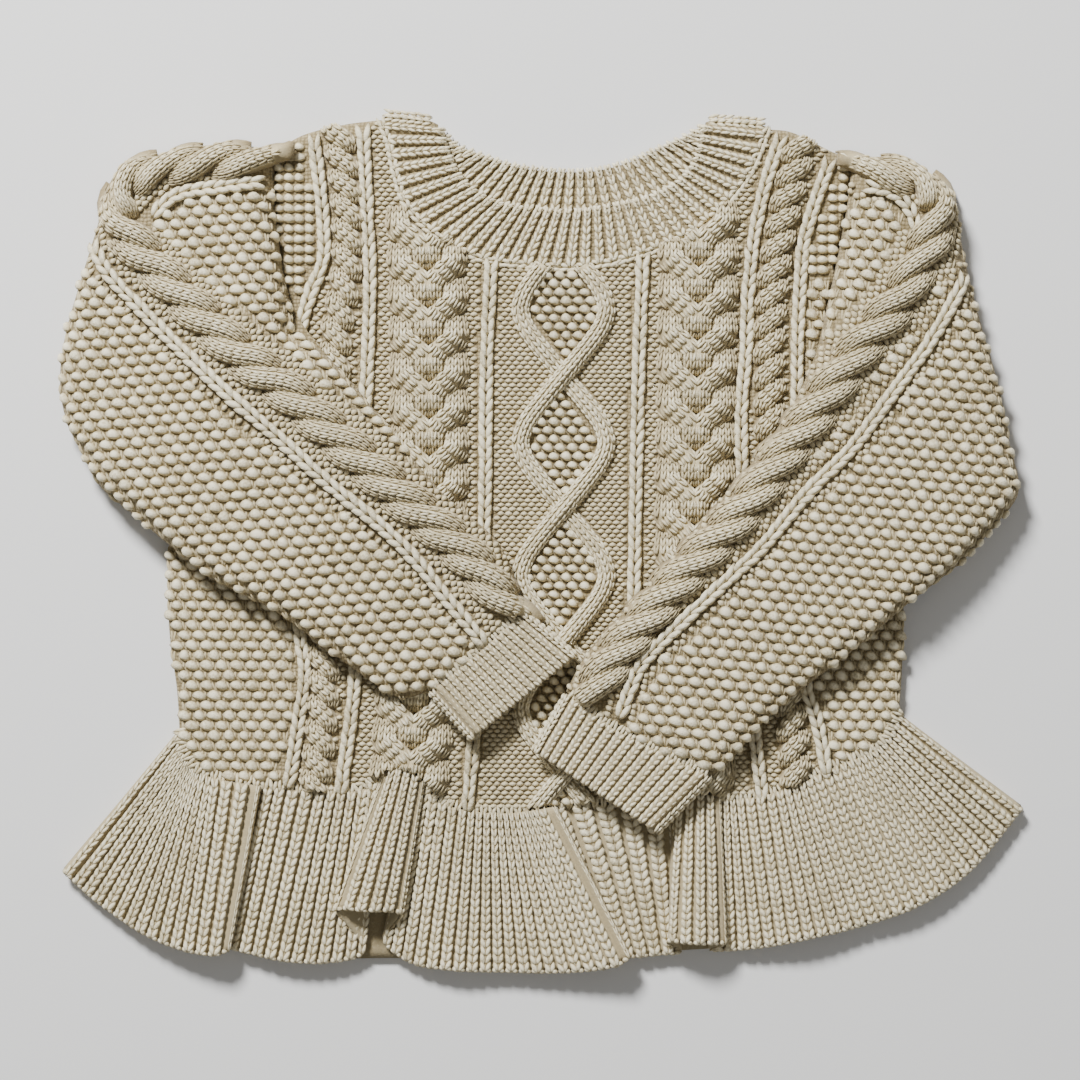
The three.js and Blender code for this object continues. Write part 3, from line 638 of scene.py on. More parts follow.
@dataclass(frozen=True)
class YarnFinish:
    """Soft cream cotton yarn with a light heather, its light and shade painted by each corner's lift: pale on top of a
    stitch, warm and dark between.
    """

    name: str
    # Painted light and shade: crown is the colour on top of a stitch, side on its flanks, root deep between stitches.
    crown: tuple[float, float, float]
    side: tuple[float, float, float]
    root: tuple[float, float, float]
    sheen: float = 0.25

    def make(self) -> bpy.types.Material:
        """Build the material."""
        s = Shader(self.name)
        lift, tint = s.attribute("lift"), s.attribute("tint")
        heather = s.noise(900.0, 4.0)
        patch = s.noise(22.0, 2.0)
        # Painted light and shade: low lift takes the dark root colour, middle lift the side, high lift the pale crown.
        height = s.ramp(lift + (heather - 0.5) * 0.35, 0.02, 0.62)
        colour = s.mix(height, (*self.root, 1), (*self.side, 1))
        colour = s.mix(s.ramp(lift + (heather - 0.5) * 0.3, 0.5, 1.05), colour, (*self.crown, 1))
        shade = 0.5 + (heather - 0.5) * 0.9 + (tint - 0.5) * 0.25 + (patch - 0.5) * 0.5
        dull = tuple(c * 0.80 for c in self.side)
        colour = s.mix(s.ramp(shade, 0.15, 0.62), (*dull, 1), colour)
        fibre = s.noise(2600.0, 3.0, (1.0, 1.0, 0.6))
        strand = s.noise(1100.0, 2.0)
        relief = fibre * 0.6 + strand * 0.8
        normal = s.node("ShaderNodeBump", {}, {"Strength": 0.55, "Distance": 0.0005, "Height": relief}, "Normal")
        roughness = 0.86 + heather * 0.12
        return s.finish(colour, roughness, normal, self.sheen)


@dataclass(frozen=True)
class PaintedShadeGroundFinish:
    """The cloth between and under the stitches, painted dark brown as shade: its own fine loops are raised by bump."""

    name: str
    colour: tuple[float, float, float]
    dark: tuple[float, float, float]
    loops: float = 620.0

    def make(self) -> bpy.types.Material:
        """Build the material."""
        s = Shader(self.name)
        cells = s.node("ShaderNodeTexVoronoi", {"feature": "F1"}, {
            "Vector": s.node("ShaderNodeTexCoord", {}, {}, "Object"), "Scale": self.loops, "Randomness": 0.35},
            "Distance")
        fibre = s.noise(2400.0, 3.0)
        # Painted shade: darker in the crevices between the fine loops.
        share = s.ramp(cells + (fibre - 0.5) * 0.4, 0.1, 0.75)
        colour = s.mix(share, (*self.colour, 1), (*self.dark, 1))
        relief = 1.0 - cells + fibre * 0.4
        normal = s.node("ShaderNodeBump", {}, {"Strength": 0.7, "Distance": 0.0012, "Height": relief}, "Normal")
        return s.finish(colour, 0.93, normal, 0.15)


@dataclass(frozen=True)
class FloorFinish:
    """A plain pale paper floor."""

    colour: tuple[float, float, float] = (0.86, 0.86, 0.85)

    def make(self) -> bpy.types.Material:
        """Build the material."""
        s = Shader("pale_floor")
        grain = s.noise(40.0, 2.0)
        colour = s.mix(grain, (*self.colour, 1), (*(c * 0.985 for c in self.colour), 1))
        normal = s.node("ShaderNodeBump", {}, {"Strength": 0.05, "Distance": 0.0005, "Height": s.noise(900.0)},
                        "Normal")
        return s.finish(colour, 0.9, normal, 0.0)


@dataclass(frozen=True)
class Finishes:
    """The materials that the pieces share; ground is painted shade for the cloth under the stitches."""

    yarn: bpy.types.Material
    ground: bpy.types.Material
    floor: bpy.types.Material


def coons(top: Array, bottom: Array, left: Array, right: Array) -> Array:
    """Span four edges with a grid.

    A point is the blend of top and bottom plus the blend of left and right, less the blend of the
    four corners.

    Args:
        top: points of the upper edge from left to right.
        bottom: points of the lower edge from left to right.
        left: points of the left edge from top to bottom.
        right: points of the right edge from top to bottom.

    Returns:
        The grid, shape (rows down, columns across, 2).
    """
    u = np.linspace(0, 1, len(top))[None, :, None]
    v = np.linspace(0, 1, len(left))[:, None, None]
    down = (1 - v) * top[None] + v * bottom[None]
    over = (1 - u) * left[:, None] + u * right[:, None]
    corners = ((1 - u) * (1 - v) * top[0] + u * (1 - v) * top[-1] + (1 - u) * v * bottom[0] + u * v * bottom[-1])
    return down + over - corners


def even(points: Array, count: int) -> Array:
    """Resample a line to a count of points, evenly by length."""
    run = run_of(points)
    return read_at(run, np.linspace(0, run[-1], count), points)


def joined_line(*edges: Rows) -> Array:
    """Join open edges into one line."""
    lines = [catmull(rows, 1.0) for rows in edges]
    return np.vstack([line[:-1] for line in lines[:-1]] + [lines[-1]])


def closed_faces(rows: int, columns: int) -> Array:
    """List the faces of a grid of upper points, the same grid of lower points and the rim between them."""
    index = np.arange(rows * columns).reshape(rows, columns)
    ring = np.concatenate([index[0, :-1], index[:-1, -1], index[-1, :0:-1], index[:0:-1, 0]])
    after = np.roll(ring, -1)
    shift = rows * columns
    rim = np.stack([ring, after, after + shift, ring + shift], axis=1)
    return np.vstack([grid_faces(rows, columns), grid_faces(rows, columns, first=shift, flip=True), rim])


def slab(name: str, plan: Array, top: Array, bottom: Array, finish: bpy.types.Material) -> bpy.types.Object:
    """Close a panel: a grid of upper points, the same grid of lower points and a rim.

    Args:
        name: the piece's name.
        plan: grid seen from above, shape (rows, columns, 2).
        top: height of each upper point.
        bottom: height of each lower point.
        finish: its material.

    Returns:
        The object.
    """
    flat = plan.reshape(-1, 2)
    corners = np.vstack([np.column_stack([flat, top.ravel()]), np.column_stack([flat, bottom.ravel()])])
    return mesh_object(name, corners, closed_faces(*plan.shape[:2]), finish)


def wall(name: str, outer: Array, inner: Array, closed: bool, finish: bpy.types.Material) -> bpy.types.Object:
    """Close a wall: columns of outer points, the same columns of inner points and rims.

    Args:
        name: the piece's name.
        outer: grid of outer points, shape (columns, levels, 3).
        inner: grid of inner points, the same shape.
        closed: whether the last column joins the first.
        finish: its material.

    Returns:
        The object.
    """
    columns, levels = outer.shape[:2]
    shift = columns * levels
    corners = np.vstack([outer.reshape(-1, 3), inner.reshape(-1, 3)])
    index = np.arange(shift).reshape(columns, levels)
    faces = [grid_faces(columns, levels, closed), grid_faces(columns, levels, closed, shift, True)]
    here = index if closed else index[:-1]
    there = np.roll(index, -1, axis=0) if closed else index[1:]
    for level, turned in ((0, False), (levels - 1, True)):
        rim = np.stack([here[:, level], here[:, level] + shift, there[:, level] + shift, there[:, level]], axis=1)
        faces.append(rim[:, ::-1] if turned else rim)
    if not closed:
        for column, turned in ((0, True), (columns - 1, False)):
            line = index[column]
            rim = np.stack([line[:-1], line[:-1] + shift, line[1:] + shift, line[1:]], axis=1)
            faces.append(rim[:, ::-1] if turned else rim)
    return mesh_object(name, corners, np.vstack(faces), finish)


@dataclass(frozen=True)
class Lobes:
    """The strands of a cable that cross its path one after another, each with columns of knit stitches.

    A point of a strand lies at (a, b): a runs down it from -1 to 1 and b across it. Its middle line
    swings from one side to the other as the sine of a, so both its ends run along the path. The
    point lies b times the half width beside that line, at right angles, and it rises as a power of
    (1 - b squared) times a hump along a, so that the ends sink under the strands before and after.
    A ridge above 0 makes the edge nearer the neck stand out more than the other.
    """

    path: Path
    middle: float
    swing: float
    reach: float
    pitch: tuple[float, float]
    width: float
    rise: float
    columns: int
    snap: float = 1.25
    stitch_length: float = 2.9
    dive: float = 2.6
    ridge: float = 0.0
    start: float = 0.3

    def centres(self) -> Array:
        """Give the distances along the path of the strands' middles, whose pitch changes evenly."""
        first, last = self.pitch
        count = int(self.path.length / (first + last) * 2) + 2
        at = self.start * first + np.concatenate([[0.0], np.cumsum(np.linspace(first, last, count))])
        return at[at < self.path.length + 0.2 * last]

    def points(self, cloth: Cloth, centre: Array, a: Array, b: Array) -> Array:
        """Give points on strands.

        Args:
            cloth: the surface under the cable.
            centre: distances along the path of the strands' middles.
            a: places down the strands, from -1 to 1.
            b: places across them, from -1 to 1.

        Returns:
            The points, shape (n, 3).
        """
        turn = 0.5 * np.pi * np.clip(self.snap * a, -1, 1)
        across = self.swing * np.sin(turn)
        slope = self.swing * self.snap * 0.5 * np.pi * np.cos(turn) / self.reach
        length = np.hypot(1.0, slope)
        half = self.width * (1 - 0.30 * np.abs(a) ** 2.4)
        along = centre + self.reach * a - b * half * slope / length
        places = self.path.beside(along, self.middle + across + b * half / length)
        return cloth.lift(places, self.rise * self.swell(a, b))

    def swell(self, a: Array, b: Array) -> Array:
        """Give how far strands stand out at some places, from 0 to 1."""
        lean = 1 + self.ridge * np.sign(self.swing) * b
        return (1 - 0.95 * np.abs(a) ** self.dive) * np.maximum(1 - (0.95 * b) ** 2, 0) ** 0.6 * lean

    def body(self, cloth: Cloth, rows: int = 15, columns: int = 11) -> tuple[Array, Array, Array]:
        """Build the closed strands under the stitches.

        Args:
            cloth: the surface under the cable.
            rows: points down a strand.
            columns: points across it.

        Returns:
            Their corners, their faces and each corner's lift, which sets its painted shade: darker in the valleys and
            on the underside.
        """
        centre = self.centres()
        a, b = np.meshgrid(np.linspace(-1.0, 1.0, rows), np.linspace(-1.04, 1.04, columns), indexing="ij")
        every = np.repeat(centre, a.size)
        upper = self.points(cloth, every, np.tile(a.ravel(), len(centre)), np.tile(b.ravel(), len(centre)))
        upper[:, 2] -= 0.25
        lower = cloth.lift(upper[:, :2], -1.2)
        corners = np.stack([upper.reshape(-1, a.size, 3), lower.reshape(-1, a.size, 3)], axis=1).reshape(-1, 3)
        faces = closed_faces(rows, columns)
        faces = (faces[None] + 2 * a.size * np.arange(len(centre))[:, None, None]).reshape(-1, 4)
        lift = np.concatenate([0.6 * self.swell(a, b).ravel(), np.zeros(a.size)])
        return corners, faces, np.tile(lift, len(centre))

    def knit(self, cloth: Cloth, knitting: Knitting, shown: Shown) -> None:
        """Lay the knit stitches on the strands where they show.

        Args:
            cloth: the surface under the cable.
            knitting: what gathers the stitches.
            shown: tells which places show.
        """
        span = 2 * np.hypot(self.reach, 1.2 * self.swing)
        count = max(3, round(span / self.stitch_length))
        a = (np.arange(count) + 0.5) / count * 2 - 1
        b = ((np.arange(self.columns) + 0.5) / self.columns * 2 - 1) * 0.94
        centre, a, b = (grid.ravel() for grid in np.meshgrid(self.centres(), a, b, indexing="ij"))
        at = self.points(cloth, centre, a, b)
        step = 0.05
        along = unit(self.points(cloth, centre, a - step, b) - self.points(cloth, centre, a + step, b))
        aside = np.where(b > 0, -step, step)
        over = unit(self.points(cloth, centre, a, b + aside) - at) * np.sign(aside)[:, None]
        out = np.cross(along, over)
        out = unit(np.where(out[:, 2:] < 0, -out, out))
        keep = shown(at[:, :2])
        width = 2.0 * self.width / self.columns
        taper = (1 - 0.3 * np.abs(a) ** 2.4)[keep]
        # Painted shade: stitches darken where the strand sinks into its valleys and at its ends.
        painted_shade = np.clip(1.25 - 1.25 * self.swell(a, b), 0, 1)[keep]
        knitting.add(Stitch.VEE, at[keep] - 0.2 * out[keep], along[keep], out[keep],
                     (width * 1.06 * taper, span / count * 1.1, width * 0.85), 0.7, painted_shade)


def everywhere(places: Array) -> Array:
    """Show all places."""
    return np.ones(len(places), bool)


def knit_chain(knitting: Knitting, cloth: Cloth, path: Path, pitch: float, size: Sequence[float],
               shown: Shown = everywhere, across: float = 0.0, rise: float = 0.6) -> None:
    """Lay knit stitches one after another along a path.

    Args:
        knitting: what gathers the stitches.
        cloth: the surface that they lie on.
        path: the line that they follow, from the neck down.
        pitch: distance from one stitch to the next.
        size: width, length and thickness of a stitch.
        shown: tells which places show.
        across: how far to the path's left they lie.
        rise: how far above the cloth their middles lie.
    """
    along = np.arange(pitch / 2, path.length - pitch / 3, pitch)
    places = path.beside(along, np.full(len(along), across))
    keep = shown(places)
    places, way = places[keep], path.way(along[keep])
    knitting.add(Stitch.VEE, cloth.lift(places, rise), np.column_stack([-way, np.zeros(len(way))]),
                 cloth.normals(places), size)


def knit_beads(knitting: Knitting, cloth: Cloth, box: Sequence[float], pitch: tuple[float, float],
               size: Sequence[float], shown: Shown, stitch: Stitch = Stitch.BEAD,
               tilt: float = 0.0, slope: float = 0.0, rise: float = 0.2, staggered: bool = True,
               painted_shade: float = 0.0) -> None:
    """Fill cloth with purl beads in rows.

    Args:
        knitting: what gathers the stitches.
        cloth: the surface that they lie on.
        box: lowest x and y and highest x and y to fill.
        pitch: distance between beads in a row and between rows.
        size: width, length and thickness of a bead.
        shown: tells which places show.
        stitch: the kind of bead.
        tilt: turn of the rows, in degrees.
        slope: turn of each bead in its row, in degrees.
        rise: how far above the cloth their middles lie.
        staggered: whether every other row is moved by half a bead.
        painted_shade: how dark their painted shade is from lying deep, from 0 to 1.
    """
    middle = np.array([box[0] + box[2], box[1] + box[3]]) / 2
    reach = np.hypot(box[2] - box[0], box[3] - box[1]) / 2
    counts = [int(reach / step) + 1 for step in pitch]
    row, column = (grid.ravel() for grid in np.meshgrid(
        np.arange(-counts[1], counts[1] + 1), np.arange(-counts[0], counts[0] + 1), indexing="ij"))
    shift = 0.5 * (row % 2) if staggered else 0.0
    flat = np.column_stack([(column + shift) * pitch[0], row * pitch[1]])
    turn = np.radians(tilt)
    across = np.array([np.cos(turn), np.sin(turn)])
    up = np.array([-np.sin(turn), np.cos(turn)])
    places = middle + flat[:, :1] * across + flat[:, 1:] * up
    within = ((places > np.array(box[:2])) & (places < np.array(box[2:]))).all(axis=1)
    places = places[within]
    places = places[shown(places)]
    lean = np.radians(tilt + slope)
    along = np.broadcast_to([-np.sin(lean), np.cos(lean), 0.0], (len(places), 3))
    knitting.add(stitch, cloth.lift(places, rise), along, cloth.normals(places), size, 1.4, painted_shade)


def knit_across(knitting: Knitting, line: Array, spacing: float, size: Sequence[float],
                height: HeightOf, lean: float = 0.0) -> None:
    """Lay knit stitches across a seam, so that they bridge it.

    Args:
        knitting: what gathers the stitches.
        line: points of the seam.
        spacing: distance between stitches.
        size: width, length and thickness of a stitch.
        height: height of their middles over places.
        lean: how far to the line's left their middles lie.
    """
    run = run_of(line)
    along = np.arange(spacing / 2, run[-1], spacing)
    way = unit(read_at(run, along + 1, line) - read_at(run, along - 1, line))
    left = np.column_stack([-way[:, 1], way[:, 0]])
    places = read_at(run, along, line) + left * lean
    up = np.broadcast_to([0.0, 0.0, 1.0], (len(places), 3))
    # The stitches across the seam carry a little painted shade (0.2).
    knitting.add(Stitch.VEE, np.column_stack([places, height(places)]), np.column_stack([left, np.zeros(len(left))]),
                 up, size, 1.3, 0.2)


@dataclass
class SleeveShape:
    """One sleeve, folded over the front: its edges, its rope and braids, and how it lies."""

    side: str
    outer: Rows
    lower: Rows
    end: Rows
    upper: Rows
    seam: Rows
    under: Rows
    cuff: Rows
    rope: Rows
    braids: Sequence[Rows]
    slant: float
    wrist: float = 7.4
    swell: float = 3.2
    swell_length: float = 90.0
    edge_width: float = 11.0
    drop: float = 16.0
    sag: float = 80.0
    seam_height: float = 7.0
    seam_rise: float = 17.0

    def __post_init__(self) -> None:
        """Work out the outline and the lines that its heights depend on."""
        self.outline = outline_of(self.outer, self.lower, self.end, self.upper, self.seam[::-1])
        self.long_edges = [joined_line(self.outer, self.lower)[::3], catmull(self.upper, 3.0)]
        self.under_line = catmull(self.under, 4.0)
        self.end_line = catmull(self.end, 4.0)
        self.seam_line = catmull(self.seam, 4.0)

    def slope(self, places: Array, width: float) -> Array:
        """Fall from 1 over the body to 0 beside it, across a width."""
        beside = 1 - smooth(2, width, line_distance(self.under_line, places))
        return np.where(inside(BODY_FRONT, places), 1.0, beside)

    def heights(self, places: Array) -> tuple[Array, Array]:
        """Give the lower and upper heights of the sleeve, before the rounding of its edges."""
        thickness = self.wrist + self.swell * smooth(0, self.swell_length, line_distance(self.end_line, places))
        low = OVER_FRONT * self.slope(places, self.drop)
        high = OVER_FRONT * (0.4 + 0.6 * self.slope(places, self.sag)) + thickness
        return low, high

    def top(self, places: Array) -> Array:
        """Give the height of the upper side, rounded down at its edges.

        Quarter circles of the distances to the long edges, the wrist and the armhole's seam lower it there.
        """
        low, high = self.heights(places)
        within = inside(self.outline, places)
        depth = np.min([line_distance(line, places) for line in self.long_edges], axis=0)
        edge = quarter_round(np.where(within, depth, 0), self.edge_width)
        wrist = quarter_round(line_distance(self.end_line, places) + 1.0, 9.0)
        wrist = np.where(within, 0.55 + 0.45 * wrist, 0.55)
        full = low + (high - low) * (0.38 + 0.62 * edge) * wrist
        puff = quarter_round(line_distance(self.seam_line, places), self.seam_rise)
        return np.where(full > self.seam_height, self.seam_height + (full - self.seam_height) * puff, full)

    def bottom(self, places: Array) -> Array:
        """Give the height of the lower side, rounded up at its edges."""
        low, high = self.heights(places)
        edge = quarter_round(depth_in(self.outline, places), 0.6 * self.edge_width)
        return low + 0.42 * np.minimum(high - low, 9.0) * (1 - edge) * 0.9


RIGHT_SLEEVE = SleeveShape(
    side="right",
    outer=[[-115, 166], [-126, 168], [-143, 169], [-162, 165], [-179, 161], [-186, 152], [-191, 134], [-199, 108],
           [-205, 86], [-207, 66], [-204, 50], [-197, 36], [-189, 22], [-177, 12], [-162, 0]],
    lower=[[-162, 0], [-140, -17], [-115, -30], [-93, -46], [-71, -62], [-60, -68], [-49, -65]],
    end=[[-49, -65], [-28, -48], [-8, -30]],
    upper=[[-8, -30], [-18, -3], [-44, 21], [-70, 53], [-89, 75], [-105, 88]],
    seam=ARM_SEAM_LEFT,
    under=[*ARM_UNDER_LEFT, *SIDE_LEFT[1:]],
    cuff=[[-31, -86], [15, -49]],
    rope=[[-118, 161], [-134, 162], [-156, 160], [-172, 156], [-181, 147], [-181, 137], [-174, 126], [-163, 114],
          [-152, 102], [-140, 90], [-128, 78], [-112, 66], [-100, 55], [-88, 44], [-74, 31], [-62, 20], [-48, 8],
          [-35, -4], [-26, -14], [-19, -24], [-12, -33]],
    braids=[[[-192, 126], [-184, 112], [-174, 101], [-154, 81], [-134, 62], [-111, 42], [-89, 22], [-68, 5],
             [-52, -11], [-41, -25], [-30, -38], [-24, -46]],
            [[-119, 152], [-134, 150], [-156, 146], [-168, 135]]],
    slant=1.0,
)
LEFT_SLEEVE = SleeveShape(
    side="left",
    outer=[[133, 163], [143, 164], [154, 163], [164, 158], [174, 150], [178, 140], [180, 125], [188, 92], [196, 64],
           [200, 42], [204, 20], [194, 6], [178, -11], [156, -27]],
    lower=[[156, -27], [134, -46], [113, -62], [95, -77], [84, -90], [73, -101]],
    end=[[73, -101], [50, -90], [29, -79], [10, -65]],
    upper=[[10, -65], [18, -50], [42, -23], [68, 8], [92, 36], [109, 62], [118, 82]],
    seam=ARM_SEAM_RIGHT,
    under=[*ARM_UNDER_RIGHT, *SIDE_RIGHT[1:]],
    cuff=[[49, -125], [-4, -90]],
    rope=[[137, 157], [150, 156], [162, 153], [169, 144], [167, 132], [162, 122], [157, 112], [150, 100], [140, 88],
          [130, 75], [121, 62], [111, 48], [98, 31], [88, 17], [77, 4], [66, -8], [55, -20], [45, -32], [35, -44],
          [26, -57], [19, -71]],
    braids=[[[180, 112], [172, 97], [163, 82], [151, 66], [130, 38], [114, 22], [92, -4], [75, -20], [57, -37],
             [42, -53], [36, -66], [32, -78]],
            [[138, 150], [149, 147], [156, 140], [159, 130]]],
    slant=-1.0,
)
SLEEVES = (RIGHT_SLEEVE, LEFT_SLEEVE)


def uncovered(places: Array, margin: float = 7.0) -> Array:
    """Tell which places of the front show, or lie only just under a sleeve's edge."""
    hidden = np.zeros(len(places), bool)
    for sleeve in SLEEVES:
        hidden |= depth_in(sleeve.outline, places) > margin
    return ~hidden


@dataclass
class Sleeve:
    """A knitted sleeve: a flattened tube, its rope cable, two braid columns and moss stitch."""

    shape: SleeveShape
    finishes: Finishes
    rope_swing: float = 5.6
    rope_reach: float = 17.5
    rope_pitch: tuple[float, float] = (19.6, 15.6)
    rope_width: float = 5.1
    rope_rise: float = 5.8
    rope_half: float = 7.0
    braid_size: tuple[float, float, float] = (6.8, 6.6, 4.4)
    braid_pitch: float = 5.0
    moss_pitch: tuple[float, float] = (6.8, 4.35)
    moss_size: tuple[float, float, float] = (7.3, 5.5, 4.2)

    def shell(self) -> bpy.types.Object:
        """Build the tube: rings of points round the flattened sleeve, from the armhole to the wrist."""
        s = self.shape
        rings, columns = 120, 48
        left = even(joined_line(s.outer, s.lower), rings)
        right = even(catmull(s.upper, 1.0)[::-1], rings)
        width = 0.5 - 0.5 * np.cos(np.linspace(0, np.pi, columns))
        known = np.linspace(0, 1, columns)
        top_edge, low_edge = (read_at(known, width, even(catmull(rows, 1.0), columns)) for rows in (s.seam, s.end))
        u = width[None, :, None]
        v = np.linspace(0, 1, rings)[:, None, None]
        over = (1 - u) * left[:, None] + u * right[:, None]
        corners = ((1 - u) * (1 - v) * top_edge[0] + u * (1 - v) * top_edge[-1]
                   + (1 - u) * v * low_edge[0] + u * v * low_edge[-1])
        plan = (1 - v) * top_edge[None] + v * low_edge[None] + over - corners
        flat = plan.reshape(-1, 2)
        high = s.top(flat).reshape(plan.shape[:2])
        low = s.bottom(flat).reshape(plan.shape[:2])
        low = np.minimum(low, high - 0.5)
        middle = (high + low) / 2
        ring_plan = np.concatenate([plan, plan[:, -2:0:-1]], axis=1)
        outer = np.dstack([ring_plan, np.concatenate([high, low[:, -2:0:-1]], axis=1)])
        gap = np.minimum(0.4, (high - low) / 4)
        centre = plan.mean(axis=1, keepdims=True)
        inner_plan = plan + (centre - plan) * 0.05
        inner_ring = np.concatenate([inner_plan, inner_plan[:, -2:0:-1]], axis=1)
        inner = np.dstack([inner_ring, np.concatenate([middle + gap, (middle - gap)[:, -2:0:-1]], axis=1)])
        return wall(f"sleeve_{s.side}_shell", outer.transpose(1, 0, 2), inner.transpose(1, 0, 2), True,
                    self.finishes.ground)

    def lobes(self) -> Lobes:
        """Give the rope cable down the sleeve."""
        return Lobes(Path.through(self.shape.rope), middle=0.0, swing=self.rope_swing * self.shape.slant,
                     reach=self.rope_reach, pitch=self.rope_pitch, width=self.rope_width, rise=self.rope_rise,
                     columns=4, snap=1.2, stitch_length=3.3)

    def build(self) -> list[bpy.types.Object]:
        """Build the sleeve and everything knitted on it."""
        s = self.shape
        cloth = Cloth(s.top)
        shell = self.shell()
        rope = self.lobes()
        corners, faces, lift = rope.body(cloth)
        rope_body = mesh_object(f"sleeve_{s.side}_rope_core", corners, faces, self.finishes.yarn)
        # The rope's core takes painted shade, darker in the valleys between strands.
        set_painted_shade(rope_body, lift)
        cables = Knitting(f"sleeve_{s.side}_cables", 11 if s.side == "right" else 12)
        rope.knit(cloth, cables, lambda p: depth_in(s.outline, p) > -1.5)
        rope_line = rope.path.points[::4]
        braid_paths = [Path.through(rows) for rows in s.braids]
        for path in braid_paths:
            knit_chain(cables, cloth, path, self.braid_pitch, self.braid_size, rise=1.0)
        moss = Knitting(f"sleeve_{s.side}_moss", 21 if s.side == "right" else 22)
        main_line = braid_paths[0].points[::4]
        side_line = braid_paths[1].points[::4]

        def bare(places: Array) -> Array:
            """Show the cloth between the edges and the cables."""
            rope_edge = line_distance(rope_line, places)
            return ((depth_in(s.outline, places) > 0.4) & (rope_edge > self.rope_half)
                    & (line_distance(main_line, places) > 3.9) & (line_distance(side_line, places) > 3.9))

        def gutter(places: Array) -> Array:
            """Tell the purl strips beside the rope and the braids."""
            near = (line_distance(rope_line, places) < self.rope_half + 6) | (line_distance(main_line, places) < 6.5)
            return bare(places) & near

        box = [*s.outline.min(axis=0), *s.outline.max(axis=0)]
        knit_beads(moss, cloth, box, self.moss_pitch, self.moss_size, lambda p: bare(p) & ~gutter(p),
                   tilt=5.0 * s.slant, slope=-9.0, rise=0.5)
        # The small stitches between the moss beads (0.7) and the purl strips (0.4) carry painted shade.
        knit_beads(moss, cloth, box, (3.4, 4.35), (2.9, 4.6, 2.6), lambda p: bare(p) & ~gutter(p), Stitch.VEE,
                   tilt=5.0 * s.slant, rise=-0.6, painted_shade=0.7)
        knit_beads(moss, cloth, box, (3.2, 2.1), (4.6, 3.1, 2.8), gutter, Stitch.BAR, tilt=48.0 * s.slant, rise=0.2,
                   painted_shade=0.4)
        wrist = catmull(s.end, 1.0)
        knit_across(moss, wrist[3:-3], 3.6, (3.9, 5.0, 3.4),
                    Cloth.level(OVER_FRONT + 2 * CUFF_WALL + 0.2).height, 0.5 * s.slant)
        pieces = [shell, rope_body, cables.piece(self.finishes.yarn), moss.piece(self.finishes.yarn)]
        for piece in pieces:
            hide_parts(f"sleeve_{s.side}")
        area = 2 * polygon_area(s.outline) * 1e-6
        return pieces


def polygon_area(outline: Array) -> float:
    """Give the area within an outline."""
    x, y = outline.T
    return abs(float(np.dot(x, np.roll(y, 1)) - np.dot(y, np.roll(x, 1)))) / 2


